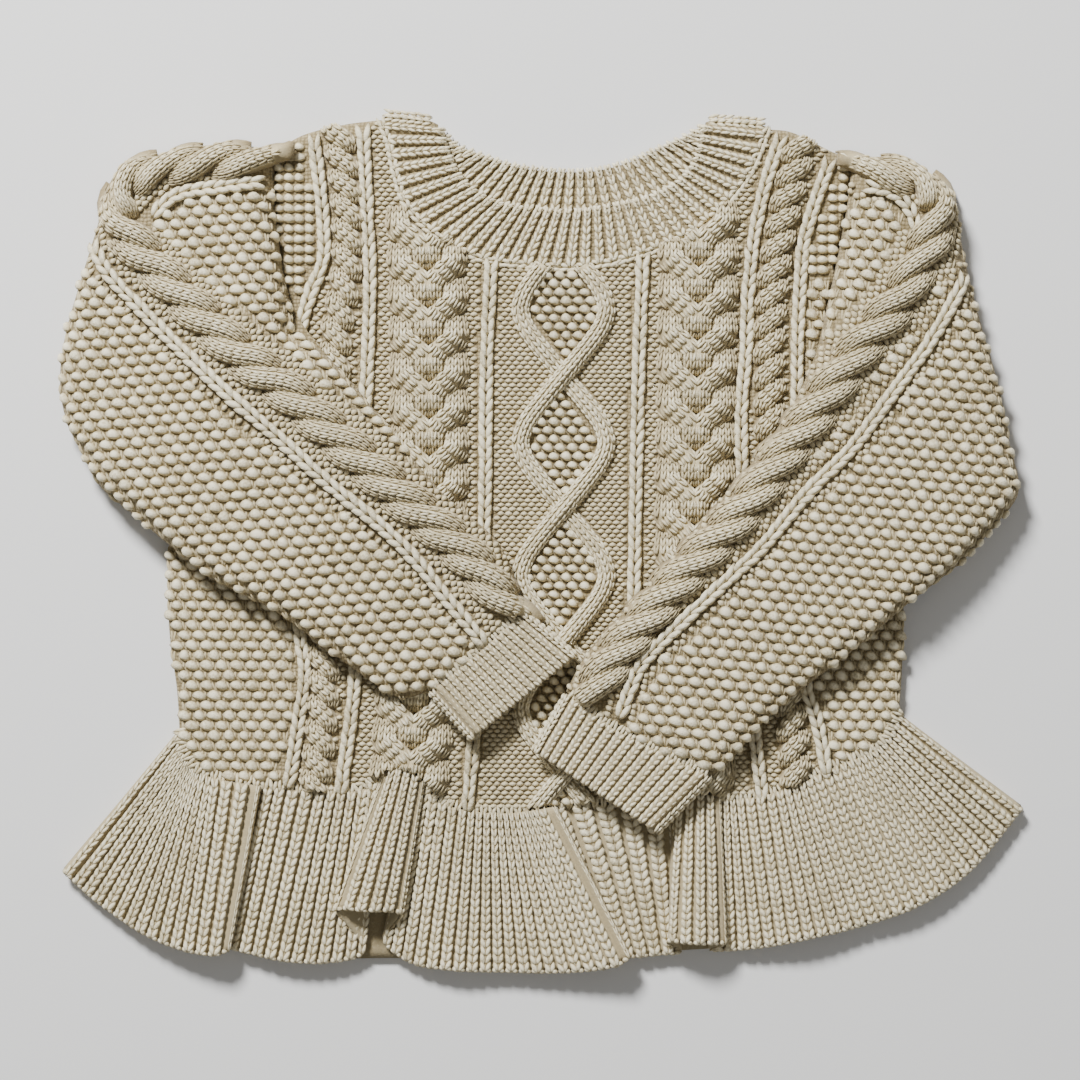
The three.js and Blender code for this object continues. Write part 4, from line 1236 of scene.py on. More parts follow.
@dataclass
class Front:
    """The front panel: braids, ropes, horseshoes and a lattice of strands, with moss at the sides."""

    finishes: Finishes
    braid_size: tuple[float, float, float] = (6.6, 6.6, 4.2)
    braid_pitch: float = 5.0
    moss_pitch: tuple[float, float] = (6.4, 4.3)
    moss_size: tuple[float, float, float] = (6.9, 5.4, 4.0)
    purl_pitch: tuple[float, float] = (3.3, 1.9)
    purl_size: tuple[float, float, float] = (4.2, 2.5, 2.5)
    lattice_reach: float = 19.4
    lattice_middle: float = 9.0
    lattice_crossing: float = 70.0
    lattice_pitch: float = 57.0
    strand_half: float = 4.1
    braids: Sequence[Rows] = (
        [[-98, 172], [-94, 136], [-94, 120], [-100, 104], [-104, 88], [-104, 20], [-104, -41], [-102, -55],
         [-105, -81], [-110, -112]],
        [[-77, 176], [-75, 136], [-74, 110], [-76, 55], [-81, -66], [-85, -97], [-87, -114]],
        [[-22, 119], [-24, 77], [-25, 6], [-30, -90], [-33, -123]],
        [[43, 121], [41, 70], [40, 25], [39, -43], [40, -120]],
        [[102, 172], [96, 154], [91, 132], [88, 105], [87, 79], [85, 52], [89, -43], [91, -85], [95, -116]],
        [[123, 162], [117, 145], [112, 128], [110, 105], [109, 59], [111, -26], [113, -64], [118, -80], [123, -108]],
    )
    ropes: Sequence[Rows] = (
        [[-88, 176], [-84, 146], [-84, 116], [-88, 90], [-90, 51], [-94, -9], [-94, -65], [-98, -114]],
        [[111, 171], [103, 138], [98, 105], [97, 66], [100, -9], [103, -43], [106, -72], [109, -114]],
    )
    horseshoes: Sequence[Rows] = (
        [[-50, 134], [-49, 103], [-49, 8], [-53, -48], [-58, -114]],
        [[67, 136], [66, 68], [65, 8], [65, -48], [66, -118]],
    )

    def height(self, places: Array) -> Array:
        """Give the height of the cloth, rounded down at the panel's edges."""
        depth = np.min([line_distance(line, places) for line in FREE_EDGES], axis=0)
        edge = quarter_round(np.where(inside(BODY_FRONT, places), depth, 0), 3.5)
        return FRONT_FLOOR + FRONT_WALL * (0.45 + 0.55 * edge)

    def shell(self) -> bpy.types.Object:
        """Build the panel under the stitches."""
        columns, rows = 150, 120
        top = even(joined_line(SHOULDER_LEFT, NECK_SEAM_FRONT, SHOULDER_RIGHT), columns)
        bottom = even(catmull(HEM_SEAM, 1.0), columns)
        left = even(joined_line(ARM_SEAM_LEFT, ARM_UNDER_LEFT, SIDE_LEFT), rows)
        right = even(joined_line(ARM_SEAM_RIGHT, ARM_UNDER_RIGHT, SIDE_RIGHT), rows)
        plan = coons(top, bottom, left, right)
        high = self.height(plan.reshape(-1, 2)).reshape(plan.shape[:2])
        return slab("front_shell", plan, high, np.full(high.shape, FRONT_FLOOR), self.finishes.ground)

    def wave(self, y: Array) -> tuple[Array, Array]:
        """Give the lattice's swing, from -1 to 1, and how near a crossing it is, from 0 to 1.

        Between crossings the swing rises straight and is capped softly: t over the sixth root of
        (1 + t to the sixth), where t is the distance to the crossing over its straight length.
        """
        turn = (np.asarray(y, float) - self.lattice_crossing) / self.lattice_pitch
        side = np.where(np.floor(turn) % 2 == 0, 1.0, -1.0)
        part = turn - np.floor(turn)
        t = np.minimum(part, 1 - part) / 0.41
        return side * t / (1 + t ** 6) ** (1 / 6), np.exp(-(t / 0.30) ** 2)

    def lattice_paths(self) -> list[tuple[Array, Array]]:
        """Give the two strands of the lattice, with their rise at every place."""
        y = np.arange(122.0, -119.0, -0.5)
        swing, near = self.wave(y)
        strands = []
        for side in (-1, 1):
            x = self.lattice_middle + side * self.lattice_reach * swing
            falls_left = np.gradient(x, y) > 0
            rise = 3.3 + np.where(falls_left, 1.7, -1.9) * near
            strands.append((np.column_stack([x, y]), rise))
        return strands

    def build(self) -> list[bpy.types.Object]:
        """Build the panel and everything knitted on it."""
        cloth = Cloth(self.height)
        shell = self.shell()
        cables = Knitting("front_cables", 31)
        cores: list[tuple[Array, Array, Array]] = []
        for rows, lean in zip(self.ropes, (1.0, -1.0)):
            lobes = Lobes(Path.through(rows), middle=0.0, swing=3.5 * lean, reach=8.0, pitch=(10.8, 10.8), width=4.3,
                          rise=4.0, columns=3, snap=1.6, stitch_length=3.2)
            cores.append(lobes.body(cloth, 13, 9))
            lobes.knit(cloth, cables, lambda p: self.shown(p, -0.5))
        for rows in self.horseshoes:
            for side in (-1.0, 1.0):
                lobes = Lobes(Path.through(rows), middle=side * 7.7, swing=-4.4 * side, reach=14.2,
                              pitch=(15.8, 15.8), width=6.0, rise=5.4, columns=4, snap=2.5, stitch_length=3.4,
                              dive=3.2, ridge=0.55)
                cores.append(lobes.body(cloth))
                lobes.knit(cloth, cables, lambda p: self.shown(p, -0.5))
        braids = Knitting("front_braids", 34)
        lattice_lines = self.knit_lattice(cloth, braids, cores)
        base, corners, faces = 0, [], []
        for points, quads, _ in cores:
            keep = uncovered(points[:, :2], 16.0) & (depth_in(BODY_FRONT, points[:, :2]) > -1.0)
            corners.append(points)
            faces.append(quads[keep[quads].all(axis=1)] + base)
            base += len(points)
        core = mesh_object("front_cable_cores", np.vstack(corners), np.vstack(faces), self.finishes.yarn)
        # The cores take painted shade, darker in the valleys between strands.
        set_painted_shade(core, np.concatenate([lift for _, _, lift in cores]))
        braid_paths = [Path.through(rows) for rows in self.braids]
        for path in braid_paths:
            knit_chain(braids, cloth, path, self.braid_pitch, self.braid_size, lambda p: self.shown(p, 0.5), rise=0.9)
        ground = Knitting("front_ground", 32)
        lines = [(path.points[::6], 4.2) for path in braid_paths]
        lines += [(Path.through(rows).points[::6], 6.4) for rows in self.ropes]
        lines += [(Path.through(rows).points[::6], 15.6) for rows in self.horseshoes]
        lines += [(line[::6], 3.6) for line in lattice_lines]
        first, last = braid_paths[0], braid_paths[-1]

        def bare(places: Array) -> Array:
            """Show the cloth that no cable covers."""
            free = self.shown(places, 0.7)
            for line, reach in lines:
                free &= line_distance(line, places) > reach
            return free

        def garter(places: Array) -> Array:
            """Tell the shoulders, outside the outermost braids, where plain rows of purl lie."""
            high = np.where(places[:, 0] < 0, 100.0, 112.0)
            return ~self.between_braids(places, first, last) & (places[:, 1] > high)

        def side_moss(places: Array) -> Array:
            """Tell the sides, outside the outermost braids and below the shoulders."""
            return ~self.between_braids(places, first, last) & ~garter(places)

        box = [*BODY_FRONT.min(axis=0), *BODY_FRONT.max(axis=0)]
        knit_beads(ground, cloth, box, self.moss_pitch, self.moss_size, lambda p: bare(p) & side_moss(p),
                   slope=-7.0, rise=0.4)
        # The small stitches between the moss beads carry painted shade (0.7).
        knit_beads(ground, cloth, box, (3.2, 4.3), (2.8, 4.6, 2.6), lambda p: bare(p) & side_moss(p), Stitch.VEE,
                   rise=-0.6, painted_shade=0.7)
        knit_beads(ground, cloth, box, (4.4, 4.4), (5.6, 4.9, 3.7), lambda p: bare(p) & garter(p), slope=14.0,
                   rise=0.4, staggered=False)
        knit_beads(ground, cloth, box, (5.3, 3.7), (5.7, 4.6, 3.9),
                   lambda p: bare(p) & self.inside_lattice(p), slope=-5.0, rise=0.9)
        # The purl bars between the cables carry painted shade (0.3).
        knit_beads(ground, cloth, box, self.purl_pitch, self.purl_size,
                   lambda p: bare(p) & self.between_braids(p, first, last) & ~self.inside_lattice(p), Stitch.BAR,
                   rise=0.0, painted_shade=0.3)
        seam = Knitting("front_seams", 33)
        neck = Path.through(NECK_SEAM_FRONT)
        knit_chain(seam, Cloth.level(FRONT_FLOOR + 2.2), neck, 3.6, (4.4, 4.6, 3.6), across=-0.6)
        knit_across(seam, catmull(HEM_SEAM, 1.0), 3.7, (3.9, 5.2, 3.4),
                    Cloth.level(FRONT_FLOOR + 2.5).height, 0.6)
        pieces = [shell, core, cables.piece(self.finishes.yarn), braids.piece(self.finishes.yarn),
                  ground.piece(self.finishes.yarn), seam.piece(self.finishes.yarn)]
        for piece in pieces:
            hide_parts("front")
        return pieces

    def shown(self, places: Array, margin: float) -> Array:
        """Tell which places of the panel lie within its edges and show."""
        return uncovered(places) & (depth_in(BODY_FRONT, places) > margin)

    def between_braids(self, places: Array, first: Path, last: Path) -> Array:
        """Tell which places lie between the outermost braids."""
        left = np.interp(places[:, 1], first.points[::-1, 1], first.points[::-1, 0])
        right = np.interp(places[:, 1], last.points[::-1, 1], last.points[::-1, 0])
        return (places[:, 0] > left) & (places[:, 0] < right)

    def inside_lattice(self, places: Array) -> Array:
        """Tell which places lie in a diamond of the lattice."""
        return np.abs(places[:, 0] - self.lattice_middle) < self.lattice_reach * np.abs(self.wave(places[:, 1])[0])

    def knit_lattice(self, cloth: Cloth, cables: Knitting, cores: list[tuple[Array, Array, Array]]) -> list[Array]:
        """Lay the lattice's two strands: a rounded body with three columns of knit stitches on each.

        Args:
            cloth: the surface under the lattice.
            cables: what gathers the stitches.
            cores: bodies of cables so far, to which the strands' are added.

        Returns:
            The strands' middle lines.
        """
        lines = []
        for points, rise in self.lattice_paths():
            run = run_of(points)
            along = np.arange(0.0, run[-1], 3.2)
            at = read_at(run, along, points)
            way = unit(read_at(run, along + 1, points) - read_at(run, along - 1, points))
            left = np.column_stack([-way[:, 1], way[:, 0]])
            lift = np.interp(along, run, rise)
            share = np.linspace(-1.0, 1.0, 9)
            section = np.maximum(1 - (0.97 * share) ** 2, 0) ** 0.6
            plan = at[:, None] + left[:, None] * (share * self.strand_half)[None, :, None]
            upper = cloth.lift(plan.reshape(-1, 2), ((lift[:, None] + 0.4) * section - 0.4).ravel())
            lower = cloth.lift(plan.reshape(-1, 2), -1.2)
            # Painted shade: the strand's corners darken towards its edges and underside.
            weight = np.concatenate([np.tile(0.1 + 0.5 * section, len(at)), np.zeros(len(lower))])
            cores.append((np.vstack([upper, lower]), closed_faces(len(at), len(share)), weight))
            for across, part in ((-2.5, 0.70), (0.0, 1.0), (2.5, 0.70)):
                places = at + left * across
                keep = self.shown(places, 0.5)
                out = cloth.normals(places) + np.column_stack([left * across * 0.42, np.zeros(len(left))])
                cables.add(Stitch.VEE, cloth.lift(places, (lift + 0.4) * part - 0.3)[keep],
                           np.column_stack([-way, np.zeros(len(way))])[keep], out[keep], (2.9, 3.5, 2.5), 0.7)
            lines.append(points)
        return lines


# The peplum's folds from left to right: name, x and height at the seam, then x, y and height at the hem
PEPLUM_FOLDS = [
    ("left side", -156, 4.6, -206, -142, 4.7),
    ("left flare", -153, 4.7, -190, -156, 5.5),
    ("left flare", -148, 5, -168, -170, 8),
    ("left flare", -139, 7, -150, -176, 10.6),
    ("flap top", -127, 9.4, -139, -177, 11.8),
    ("flap edge", -121.5, 8.7, -134.5, -175, 10.3),
    ("flap under", -125.5, 7.9, -141, -174, 8.9),
    ("flap turn", -128.5, 6.3, -147, -174, 6.8),
    ("flap foot", -124, 4.7, -141, -174, 4.7),
    ("second group", -112, 5, -127, -177, 5.5),
    ("second group", -96, 6, -112, -180, 7.2),
    ("second group", -81, 6, -93, -181, 6.6),
    ("tube foot", -68, 4.8, -77, -177, 4.8),
    ("tube left", -67, 7.6, -87, -159, 9.8),
    ("tube top", -60, 9.4, -75, -158, 14.6),
    ("tube right", -52, 7.6, -61.5, -160, 9.8),
    ("tube foot", -53, 4.8, -68, -172, 4.8),
    ("third group", -46, 5, -57, -181, 5),
    ("third group", -33, 6, -40, -184, 7.4),
    ("third group", -20, 5.6, -17, -185, 6.2),
    ("third group", -9, 6.6, 9, -185, 8),
    ("third group", -3, 8, 26, -183, 10.6),
    ("flap top", 1, 9.4, 33, -181, 11.8),
    ("flap edge", 5.5, 8.7, 37, -178, 10.3),
    ("flap under", 2.5, 7.9, 30, -178, 8.9),
    ("flap turn", -0.5, 6.3, 24, -178, 6.8),
    ("flap foot", 4, 4.7, 30, -178, 4.7),
    ("fourth group", 20, 4.8, 39, -179, 5),
    ("fourth group", 40, 4.8, 50, -178, 4.8),
    ("tube foot", 56, 4.8, 59, -177, 4.8),
    ("tube left", 57, 6.4, 54, -172, 9.8),
    ("tube top", 66, 7.8, 65, -172, 14.6),
    ("tube right", 75, 6.4, 77, -173, 9.8),
    ("tube foot", 74.5, 4.8, 72, -176, 4.8),
    ("right group", 84, 5.4, 91, -175, 6),
    ("right group", 100, 7, 112, -171, 8.4),
    ("right group", 115, 6, 138, -165, 6.4),
    ("right group", 130, 6, 160, -157, 7.4),
    ("right group", 142, 5.4, 182, -143, 6),
    ("right side", 153, 4.6, 206, -115, 4.7),
]


def sheet_normals(grid: Array, closed: bool) -> Array:
    """Give the directions out of a sheet of points: down a column crossed with the way to the next one.

    Args:
        grid: points of shape (columns, levels, 3).
        closed: whether the last column joins the first.

    Returns:
        Directions of length one, the grid's shape.
    """
    if closed:
        across = np.roll(grid, -1, axis=0) - np.roll(grid, 1, axis=0)
    else:
        across = np.gradient(grid, axis=0)
    return unit(np.cross(np.gradient(grid, axis=1), across))


def knit_ribs(knitting: Knitting, grid: Array, normals: Array, centres: Array, rows: int, rise: float,
              width: float = 0.74, facing: float = 0.12) -> None:
    """Lay a column of knit stitches on each rib of a sheet.

    Args:
        knitting: what gathers the stitches.
        grid: points of the sheet, shape (columns, levels, 3).
        normals: directions out of it.
        centres: the column numbers of the ribs' middles.
        rows: stitches in a rib.
        rise: how far above the sheet their middles lie.
        width: width of a stitch over the distance between ribs.
        facing: stitches whose direction out has less than this upwards are left out.
    """
    step = centres[1] - centres[0]
    level = (np.arange(rows) + 0.5) / rows * (grid.shape[1] - 1)
    low = np.floor(level).astype(int)
    share = (level - low)[None, :, None]
    high = np.minimum(low + 1, grid.shape[1] - 1)
    column, beside = centres, np.clip(centres + step, 0, len(grid) - 1)
    before = np.clip(centres - step, 0, len(grid) - 1)

    def at(table: Array, which: Array) -> Array:
        """Read a table at some columns, between its levels."""
        return table[which][:, low] * (1 - share) + table[which][:, high] * share

    middle, out = at(grid, column), unit(at(normals, column))
    pitch = np.linalg.norm(at(grid, beside) - at(grid, before), axis=-1) / 2
    pitch = np.where((column == beside) | (column == before), 2.0, 1.0)[:, None] * pitch
    along = -np.gradient(middle, axis=1)
    length = np.linalg.norm(along, axis=-1)
    keep = (out[..., 2] > facing) & (length > 0.05)
    knitting.add(Stitch.VEE, (middle + out * rise)[keep], along[keep], out[keep],
                 (pitch[keep] * width, length[keep] * 1.08, np.minimum(pitch[keep], 4.6) * 0.62))


def rib_relief(columns: int, per_rib: int, rise: float) -> Array:
    """Give the height of ribs over columns: the root of a raised cosine, 0 in the gutter."""
    phase = 2 * np.pi * np.arange(columns) / per_rib
    return rise * np.sqrt(0.5 - 0.5 * np.cos(phase))


@dataclass
class Peplum:
    """The ribbed ruffle at the hem, in groups of folds with two tube pleats, and the plain one behind it."""

    finishes: Finishes
    rib_pitch: float = 5.7
    per_rib: int = 8
    levels: int = 25
    rows: int = 20
    seam_gap: float = 0.7
    rib_rise: float = 1.5
    shell_wall: float = 1.4

    def seam_y(self, x: Array) -> Array:
        """Give the height on the page of the hem seam above any place."""
        line = catmull(HEM_SEAM, 1.5)
        return np.interp(x, line[:, 0], line[:, 1])

    def sheet(self) -> tuple[Array, int]:
        """Run columns from the seam to the hem, evenly along the hem.

        Returns:
            The grid of points, shape (columns, levels, 3), and the number of ribs.
        """
        folds = [row[1:] for row in PEPLUM_FOLDS]
        place = np.linspace(0, len(folds) - 1, 60 * (len(folds) - 1) + 1)
        hem_rows = [[row[2], row[3], row[4]] for row in folds]
        run = run_of(knot_curve(hem_rows, place))
        ribs = round(run[-1] / self.rib_pitch)
        at = np.interp(np.linspace(0, run[-1], ribs * self.per_rib + 1), run, place)
        hem = knot_curve(hem_rows, at)
        seam = knot_curve([[row[0], self.seam_y(row[0]), row[1]] for row in folds], at)
        seam[:, 1] = self.seam_y(seam[:, 0]) - self.seam_gap
        level = np.linspace(0, 1, self.levels)[None, :, None]
        return seam[:, None] * (1 - level) + hem[:, None] * level, ribs

    def build(self) -> list[bpy.types.Object]:
        """Build both peplums and the ribs' stitches."""
        grid, ribs = self.sheet()
        normals = sheet_normals(grid, False)
        normals[:, 0, 1] = 0
        normals = unit(normals)
        relief = rib_relief(len(grid), self.per_rib, self.rib_rise)[:, None, None]
        outer = grid + normals * (self.shell_wall / 2 - 0.9 + relief)
        inner = grid - normals * (self.shell_wall / 2 + 0.2)
        shell = wall("peplum_front_shell", outer, inner, False, self.finishes.yarn)
        # The shell between the ribs takes painted shade, a darker yarn colour.
        set_painted_shade(shell, 0.3)
        stitches = Knitting("peplum_front_ribs", 41)
        centres = np.arange(ribs) * self.per_rib + self.per_rib // 2
        knit_ribs(stitches, grid, normals, centres, self.rows, 1.1, 0.9, -0.35)
        edge = Knitting("peplum_front_edge", 42)
        twice_a_rib = slice(self.per_rib // 4, None, self.per_rib // 2)
        hem, out = grid[twice_a_rib, -1], normals[twice_a_rib, -1]
        way = unit(np.gradient(hem, axis=0))
        edge.add(Stitch.BEAD, hem + out * 0.5, np.cross(out, way), out, (3.3, 2.9, 2.8))
        pieces = [shell, stitches.piece(self.finishes.yarn), edge.piece(self.finishes.yarn)]
        for piece in pieces:
            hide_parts("peplum_front")
        hem_length = run_of(grid[:, -1])[-1]
        seam_length = run_of(grid[:, 0])[-1]
        depth = np.linalg.norm(grid[:, -1] - grid[:, 0], axis=1).mean()
        return [*pieces, self.back()]

    def back(self) -> bpy.types.Object:
        """Build the plain ruffle behind the front one."""
        tops = [row for row in PEPLUM_FOLDS if not any(w in row[0] for w in ("under", "turn", "foot", "tube", "edge"))]
        top = even(catmull([[x, y - 0.9] for x, y in HEM_SEAM], 1.0), 90)
        bottom = even(catmull([[row[3], row[4] + 0.5] for row in tops], 1.0), 90)
        level = np.linspace(0, 1, 20)[:, None, None]
        plan = top[None] * (1 - level) + bottom[None] * level
        high = np.full(plan.shape[:2], BACK_WALL)
        shell = slab("peplum_back_shell", plan, high, 0 * high, self.finishes.yarn)
        # The back peplum takes painted shade, darker than the front's yarn.
        set_painted_shade(shell, 0.2)
        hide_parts("peplum_back")
        return shell


@dataclass
class Back:
    """The plain knitted back panel, on which the whole garment lies."""

    finishes: Finishes

    def build(self) -> list[bpy.types.Object]:
        """Build the panel."""
        top = even(joined_line(SHOULDER_LEFT, NECK_SEAM_BACK, SHOULDER_RIGHT), 110)
        bottom = even(catmull(HEM_SEAM, 1.0), 110)
        left = even(joined_line(ARM_SEAM_LEFT, ARM_UNDER_LEFT, SIDE_LEFT), 90)
        right = even(joined_line(ARM_SEAM_RIGHT, ARM_UNDER_RIGHT, SIDE_RIGHT), 90)
        plan = coons(top, bottom, left, right)
        high = np.full(plan.shape[:2], BACK_WALL)
        shell = slab("back_shell", plan, high, 0 * high, self.finishes.ground)
        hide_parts("back")
        return [shell]


@dataclass
class Neckband:
    """The rib ring round the neck, its front part over the back one, with a fold at each side."""

    finishes: Finishes
    front_ribs: int = 36
    back_ribs: int = 31
    per_rib: int = 6
    fold_columns: int = 12
    levels: int = 11
    rows: int = 7
    rib_rise: float = 1.5
    fold_lines: Sequence[tuple[Rows, float]] = (
        ([[-68, 180], [-57, 179], [-46, 177.6]], 1.0),
        ([[95, 176.4], [83, 177.4], [71, 178]], -1.0),
    )

    def arc(self, seam: Rows, edge: Rows, share: Array) -> tuple[Array, Array]:
        """Give the lines across a band at some shares of its two edges.

        Args:
            seam: the edge that is sewn to the body.
            edge: the free edge round the neck.
            share: places along both, from 0 to 1.

        Returns:
            Points of the lines, and the directions that lie beside them, away from the band's middle.
        """
        ends = [catmull(rows, 0.5) for rows in (seam, edge)]
        start, stop = (read_at(run_of(line), share * run_of(line)[-1], line) for line in ends)
        level = np.linspace(0, 1, self.levels)[None, :, None]
        line = unit(stop - start)
        aside = np.column_stack([-line[:, 1], line[:, 0]]) * np.where(share > 0.5, -1, 1)[:, None]
        return start[:, None] * (1 - level) + stop[:, None] * level, aside

    def build(self) -> list[bpy.types.Object]:
        """Build the ring and its stitches."""
        high, low = FRONT_FLOOR + 2, NECK_WALL / 2
        radius, centre = (high - low) / 2, (high + low) / 2
        count = self.front_ribs * self.per_rib
        under = self.back_ribs * self.per_rib
        fold = (np.arange(self.fold_columns) + 1) / (self.fold_columns + 1) * np.pi
        share = np.concatenate([np.arange(count + 1) / count, np.ones(len(fold)),
                                np.arange(under, -1, -1) / under, np.zeros(len(fold))])
        turn = np.concatenate([np.zeros(count + 1), fold, np.full(under + 1, np.pi), fold[::-1]])
        behind = np.concatenate([np.zeros(count + 1 + len(fold)), np.ones(under + 1), np.zeros(len(fold))]) > 0.5
        front_plan, front_aside = self.arc(NECK_SEAM_FRONT, NECK_EDGE_FRONT, share)
        back_plan, back_aside = self.arc(NECK_SEAM_BACK, NECK_EDGE_BACK, share)
        plan = np.where(behind[:, None, None], back_plan, front_plan)
        aside = np.where(behind[:, None], back_aside, front_aside)
        tuck = 1 - 0.55 * np.abs(np.linspace(-1, 1, self.levels)) ** 4
        out = aside[:, None] * np.sin(turn)[:, None, None] * tuck[None, :, None]
        normal = np.dstack([out, np.broadcast_to(np.cos(turn)[:, None, None], (*out.shape[:2], 1))])
        grid = np.dstack([plan, np.full(plan.shape[:2], centre)]) + normal * radius
        relief = np.zeros(len(grid))
        relief[:count + 1] = rib_relief(count + 1, self.per_rib, self.rib_rise)
        inner_relief = np.zeros(len(grid))
        inner_relief[behind] = rib_relief(under + 1, self.per_rib, self.rib_rise)
        outer = grid + normal * (NECK_WALL / 2 - 0.8 + relief[:, None, None])
        inner = grid - normal * (NECK_WALL / 2 - 0.8 + inner_relief[:, None, None])
        shell = wall("neckband_shell", outer, inner, True, self.finishes.ground)
        stitches = Knitting("neckband_ribs", 51)
        front = np.arange(self.front_ribs) * self.per_rib + self.per_rib // 2
        first = count + 1 + len(fold)
        back = first + np.arange(self.back_ribs) * self.per_rib + self.per_rib // 2
        knit_ribs(stitches, grid[:, ::-1], normal[:, ::-1], front, self.rows, NECK_WALL / 2)
        knit_ribs(stitches, grid[:, ::-1], -normal[:, ::-1], back, self.rows, NECK_WALL / 2)
        for line, side in self.fold_lines:
            for across, high in ((0.7, 5.9), (3.0, 4.6)):
                knit_chain(stitches, Cloth.level(high), Path.through(line), 3.3, (3.6, 3.6, 3.2),
                           across=side * across, rise=0.0)
        for ribs, side in ((front, 1.0), (back, -1.0)):
            line = unit(grid[ribs, -1] - grid[ribs, -2])
            out = side * normal[ribs, -1]
            spacing = np.linalg.norm(np.gradient(grid[ribs, -1], axis=0), axis=1)
            for lean, reach in ((0.5, 0.4), (1.4, 1.3)):
                centres = grid[ribs, -1] + out * (NECK_WALL / 2 - 0.5 * reach) + line * (reach - 0.6)
                stitches.add(Stitch.VEE, centres, line - 0.6 * lean * out, out + lean * line,
                             (spacing * 0.84, 3.4, 2.8))
        pieces = [shell, stitches.piece(self.finishes.yarn)]
        for piece in pieces:
            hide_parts("neckband")
        seams = run_of(catmull(NECK_SEAM_FRONT, 1))[-1] + run_of(catmull(NECK_SEAM_BACK, 1))[-1]
        edges = run_of(catmull(NECK_EDGE_FRONT, 1))[-1] + run_of(catmull(NECK_EDGE_BACK, 1))[-1]
        depth = np.linalg.norm(grid[:, -1] - grid[:, 0], axis=1).mean()
        return pieces


@dataclass
class Cuff:
    """A ribbed cuff, a flattened tube on the end of its sleeve."""

    shape: SleeveShape
    finishes: Finishes
    ribs: int = 14
    per_rib: int = 6
    fold_columns: int = 8
    levels: int = 12
    rows: int = 10
    slit: float = 0.8
    rib_rise: float = 1.7

    def build(self) -> list[bpy.types.Object]:
        """Build the cuff and its stitches."""
        s = self.shape
        wrist = catmull(s.end, 0.5)
        hand = catmull(s.cuff, 0.5)
        aside = unit((wrist[-1] - wrist[0])[None])[0]
        width = np.linalg.norm(wrist[-1] - wrist[0])
        way = unit((hand[0] - wrist[0])[None])[0]
        radius = (CUFF_WALL + self.slit) / 2
        height = OVER_FRONT + CUFF_WALL + self.slit / 2
        reach = 1 - (2 * radius + CUFF_WALL) / width
        count = self.ribs * self.per_rib
        fold = (np.arange(self.fold_columns) + 1) / (self.fold_columns + 1) * np.pi
        share = np.concatenate([np.arange(count + 1) / count, np.ones(len(fold)), np.arange(count, -1, -1) / count,
                                np.zeros(len(fold))])
        turn = np.concatenate([np.zeros(count + 1), fold, np.full(count + 1, np.pi), fold[::-1]])
        start, stop = (read_at(run_of(line), share * run_of(line)[-1], line) for line in (wrist, hand))
        half = [read_at(run_of(line), np.array([0.5]) * run_of(line)[-1], line) for line in (wrist, hand)]
        start = half[0] + (start - half[0]) * reach + way * 0.8
        stop = half[1] + (stop - half[1]) * reach
        level = np.linspace(0, 1, self.levels)[None, :, None]
        plan = start[:, None] * (1 - level) + stop[:, None] * level
        side = np.where(share < 0.5, -1, 1)
        normal = np.column_stack([aside[None] * (side * np.sin(turn))[:, None], np.cos(turn)])[:, None]
        grid = np.dstack([plan, np.full(plan.shape[:2], height)]) + normal * radius
        relief = np.zeros(len(grid))
        relief[:count + 1] = rib_relief(count + 1, self.per_rib, self.rib_rise)
        outer = grid + normal * (CUFF_WALL / 2 - 0.8 + relief[:, None, None])
        inner = grid - normal * (CUFF_WALL / 2)
        shell = wall(f"cuff_{s.side}_shell", outer, inner, True, self.finishes.yarn)
        # The shell between the ribs takes painted shade, a darker yarn colour.
        set_painted_shade(shell, 0.3)
        stitches = Knitting(f"cuff_{s.side}_ribs", 61 if s.side == "right" else 62)
        centres = np.arange(self.ribs) * self.per_rib + self.per_rib // 2
        ways = np.broadcast_to(normal, grid.shape)
        knit_ribs(stitches, grid, ways, centres, self.rows, CUFF_WALL / 2, 0.9)
        for column, side in ((0, -1.0), (count, 1.0)):
            ends = plan[column, [0, -1]]
            along = (np.arange(self.rows) + 0.5)[:, None] / self.rows
            for angle in (0.5, 1.25):
                bulge = radius + CUFF_WALL / 2 - 0.3
                centres = ends[0] + (ends[1] - ends[0]) * along + aside * side * np.sin(angle) * bulge
                out = np.broadcast_to([*(aside * side * np.sin(angle)), np.cos(angle)], (self.rows, 3))
                up = np.broadcast_to([*(ends[0] - ends[1]), 0.0], (self.rows, 3))
                length = np.linalg.norm(ends[1] - ends[0]) / self.rows * 1.08
                stitches.add(Stitch.VEE, np.column_stack([centres, np.full(self.rows, height + np.cos(angle) * bulge)]),
                             up, out, (3.0, length, 2.8))
        pieces = [shell, stitches.piece(self.finishes.yarn)]
        for piece in pieces:
            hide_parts(f"cuff_{s.side}")
        around = run_of(np.vstack([grid[:, 5], grid[:1, 5]]))[-1]
        length = np.linalg.norm(grid[:, -1] - grid[:, 0], axis=1).mean()
        length * MM
        return pieces


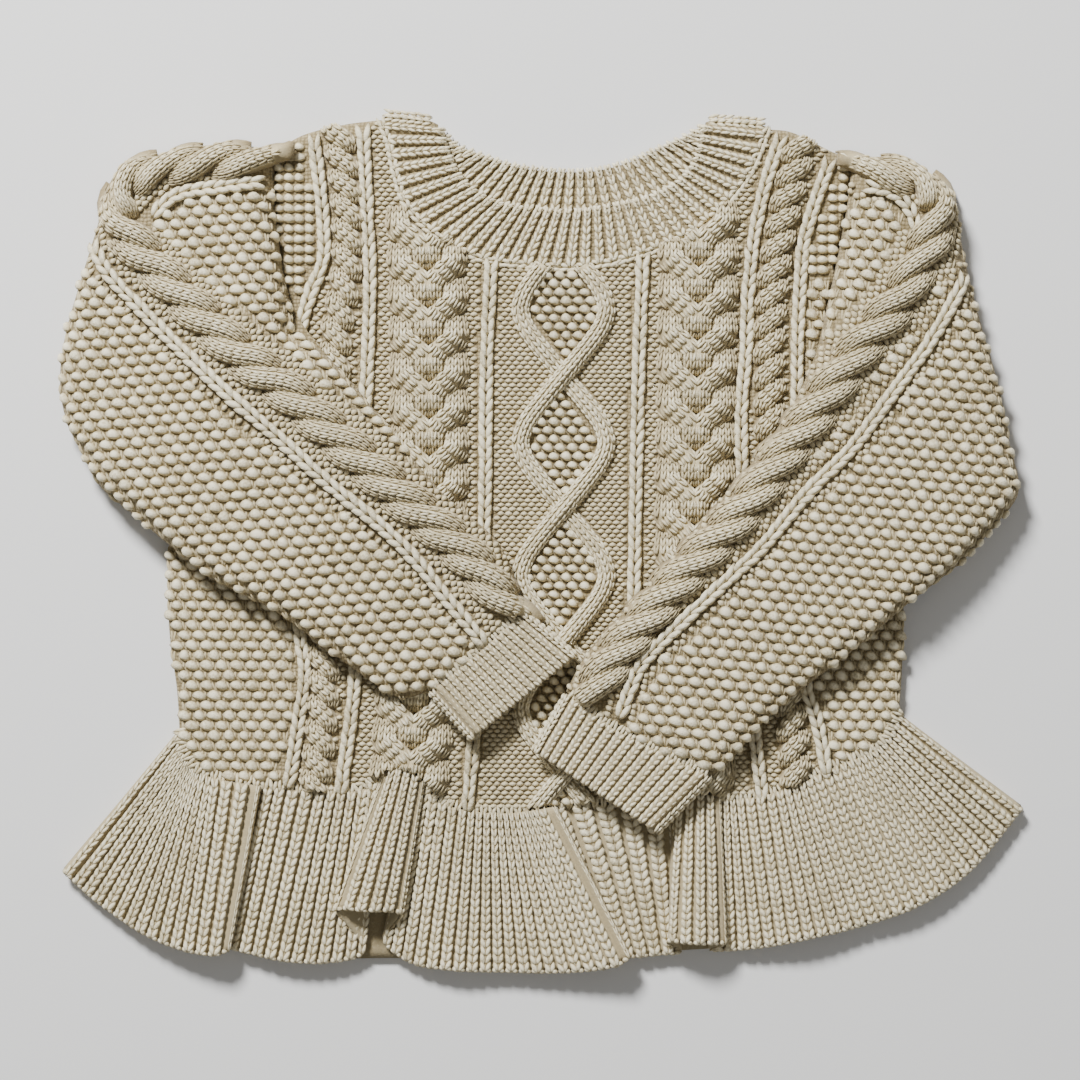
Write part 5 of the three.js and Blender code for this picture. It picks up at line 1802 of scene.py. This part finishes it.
@dataclass(frozen=True)
class Studio:
    """The pale floor, the soft lights and the camera straight above."""

    floor_size: float = 4.0
    key_energy: float = 104.0
    fill_energy: float = 3.0
    distance: float = 1.1
    lens: float = 85.0
    middle: tuple[float, float] = (-0.0011, -0.0004)

    def light(self, name: str, energy: float, size: float, place: Sequence[float]) -> None:
        """Put up an area light that looks at the garment."""
        data = bpy.data.lights.new(name, "AREA")
        data.shape = "DISK"
        data.size = size
        data.energy = energy
        lamp = bpy.data.objects.new(name, data)
        lamp.location = place
        lamp.rotation_euler = (-Vector(place)).to_track_quat("-Z", "Y").to_euler()
        bpy.context.scene.collection.objects.link(lamp)

    def build(self, floor_finish: bpy.types.Material) -> None:
        """Set up the scene round the garment."""
        mesh = bpy.data.meshes.new("pale_floor")
        half = self.floor_size / 2
        mesh.from_pydata([(-half, -half, 0), (half, -half, 0), (half, half, 0), (-half, half, 0)], [], [(0, 1, 2, 3)])
        mesh.materials.append(floor_finish)
        floor = bpy.data.objects.new("pale_floor", mesh)
        bpy.context.scene.collection.objects.link(floor)
        self.light("key", self.key_energy, 0.5, (-0.75, 1.5, 1.35))
        self.light("fill", self.fill_energy, 2.0, (1.0, -0.8, 1.9))
        world = bpy.data.worlds.new("soft_room")
        world.use_nodes = True
        world.node_tree.nodes["Background"].inputs["Color"].default_value = (1.0, 0.99, 0.97, 1)
        world.node_tree.nodes["Background"].inputs["Strength"].default_value = 0.2
        bpy.context.scene.world = world
        data = bpy.data.cameras.new("camera")
        data.lens = self.lens
        data.sensor_width = 36.0
        camera = bpy.data.objects.new("camera", data)
        camera.location = (*self.middle, self.distance)
        bpy.context.scene.collection.objects.link(camera)
        bpy.context.scene.camera = camera


def main() -> None:
    """Build the garment piece by piece, then the studio."""
    logging.basicConfig(level=logging.INFO, format="%(message)s")
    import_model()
    finishes = Finishes(
        # The yarn's crown, side and root colours are painted light and shade; the ground's two browns are painted
        # shade.
        yarn=YarnFinish("cream_yarn", (0.95, 0.875, 0.65), (0.62, 0.53, 0.325), (0.24, 0.18, 0.09)).make(),
        ground=PaintedShadeGroundFinish("painted_shade_ground", (0.44, 0.36, 0.21), (0.22, 0.17, 0.085)).make(),
        floor=FloorFinish().make(),
    )
    parts = [Back(finishes), Peplum(finishes), Front(finishes), Neckband(finishes),
             *(Sleeve(shape, finishes) for shape in SLEEVES), *(Cuff(shape, finishes) for shape in SLEEVES)]
    for part in parts:
        for piece in part.build():
            logging.info("%s: %d faces", piece.name, len(piece.data.polygons))
    Studio().build(finishes.floor)


if __name__ == "__main__":
    main()
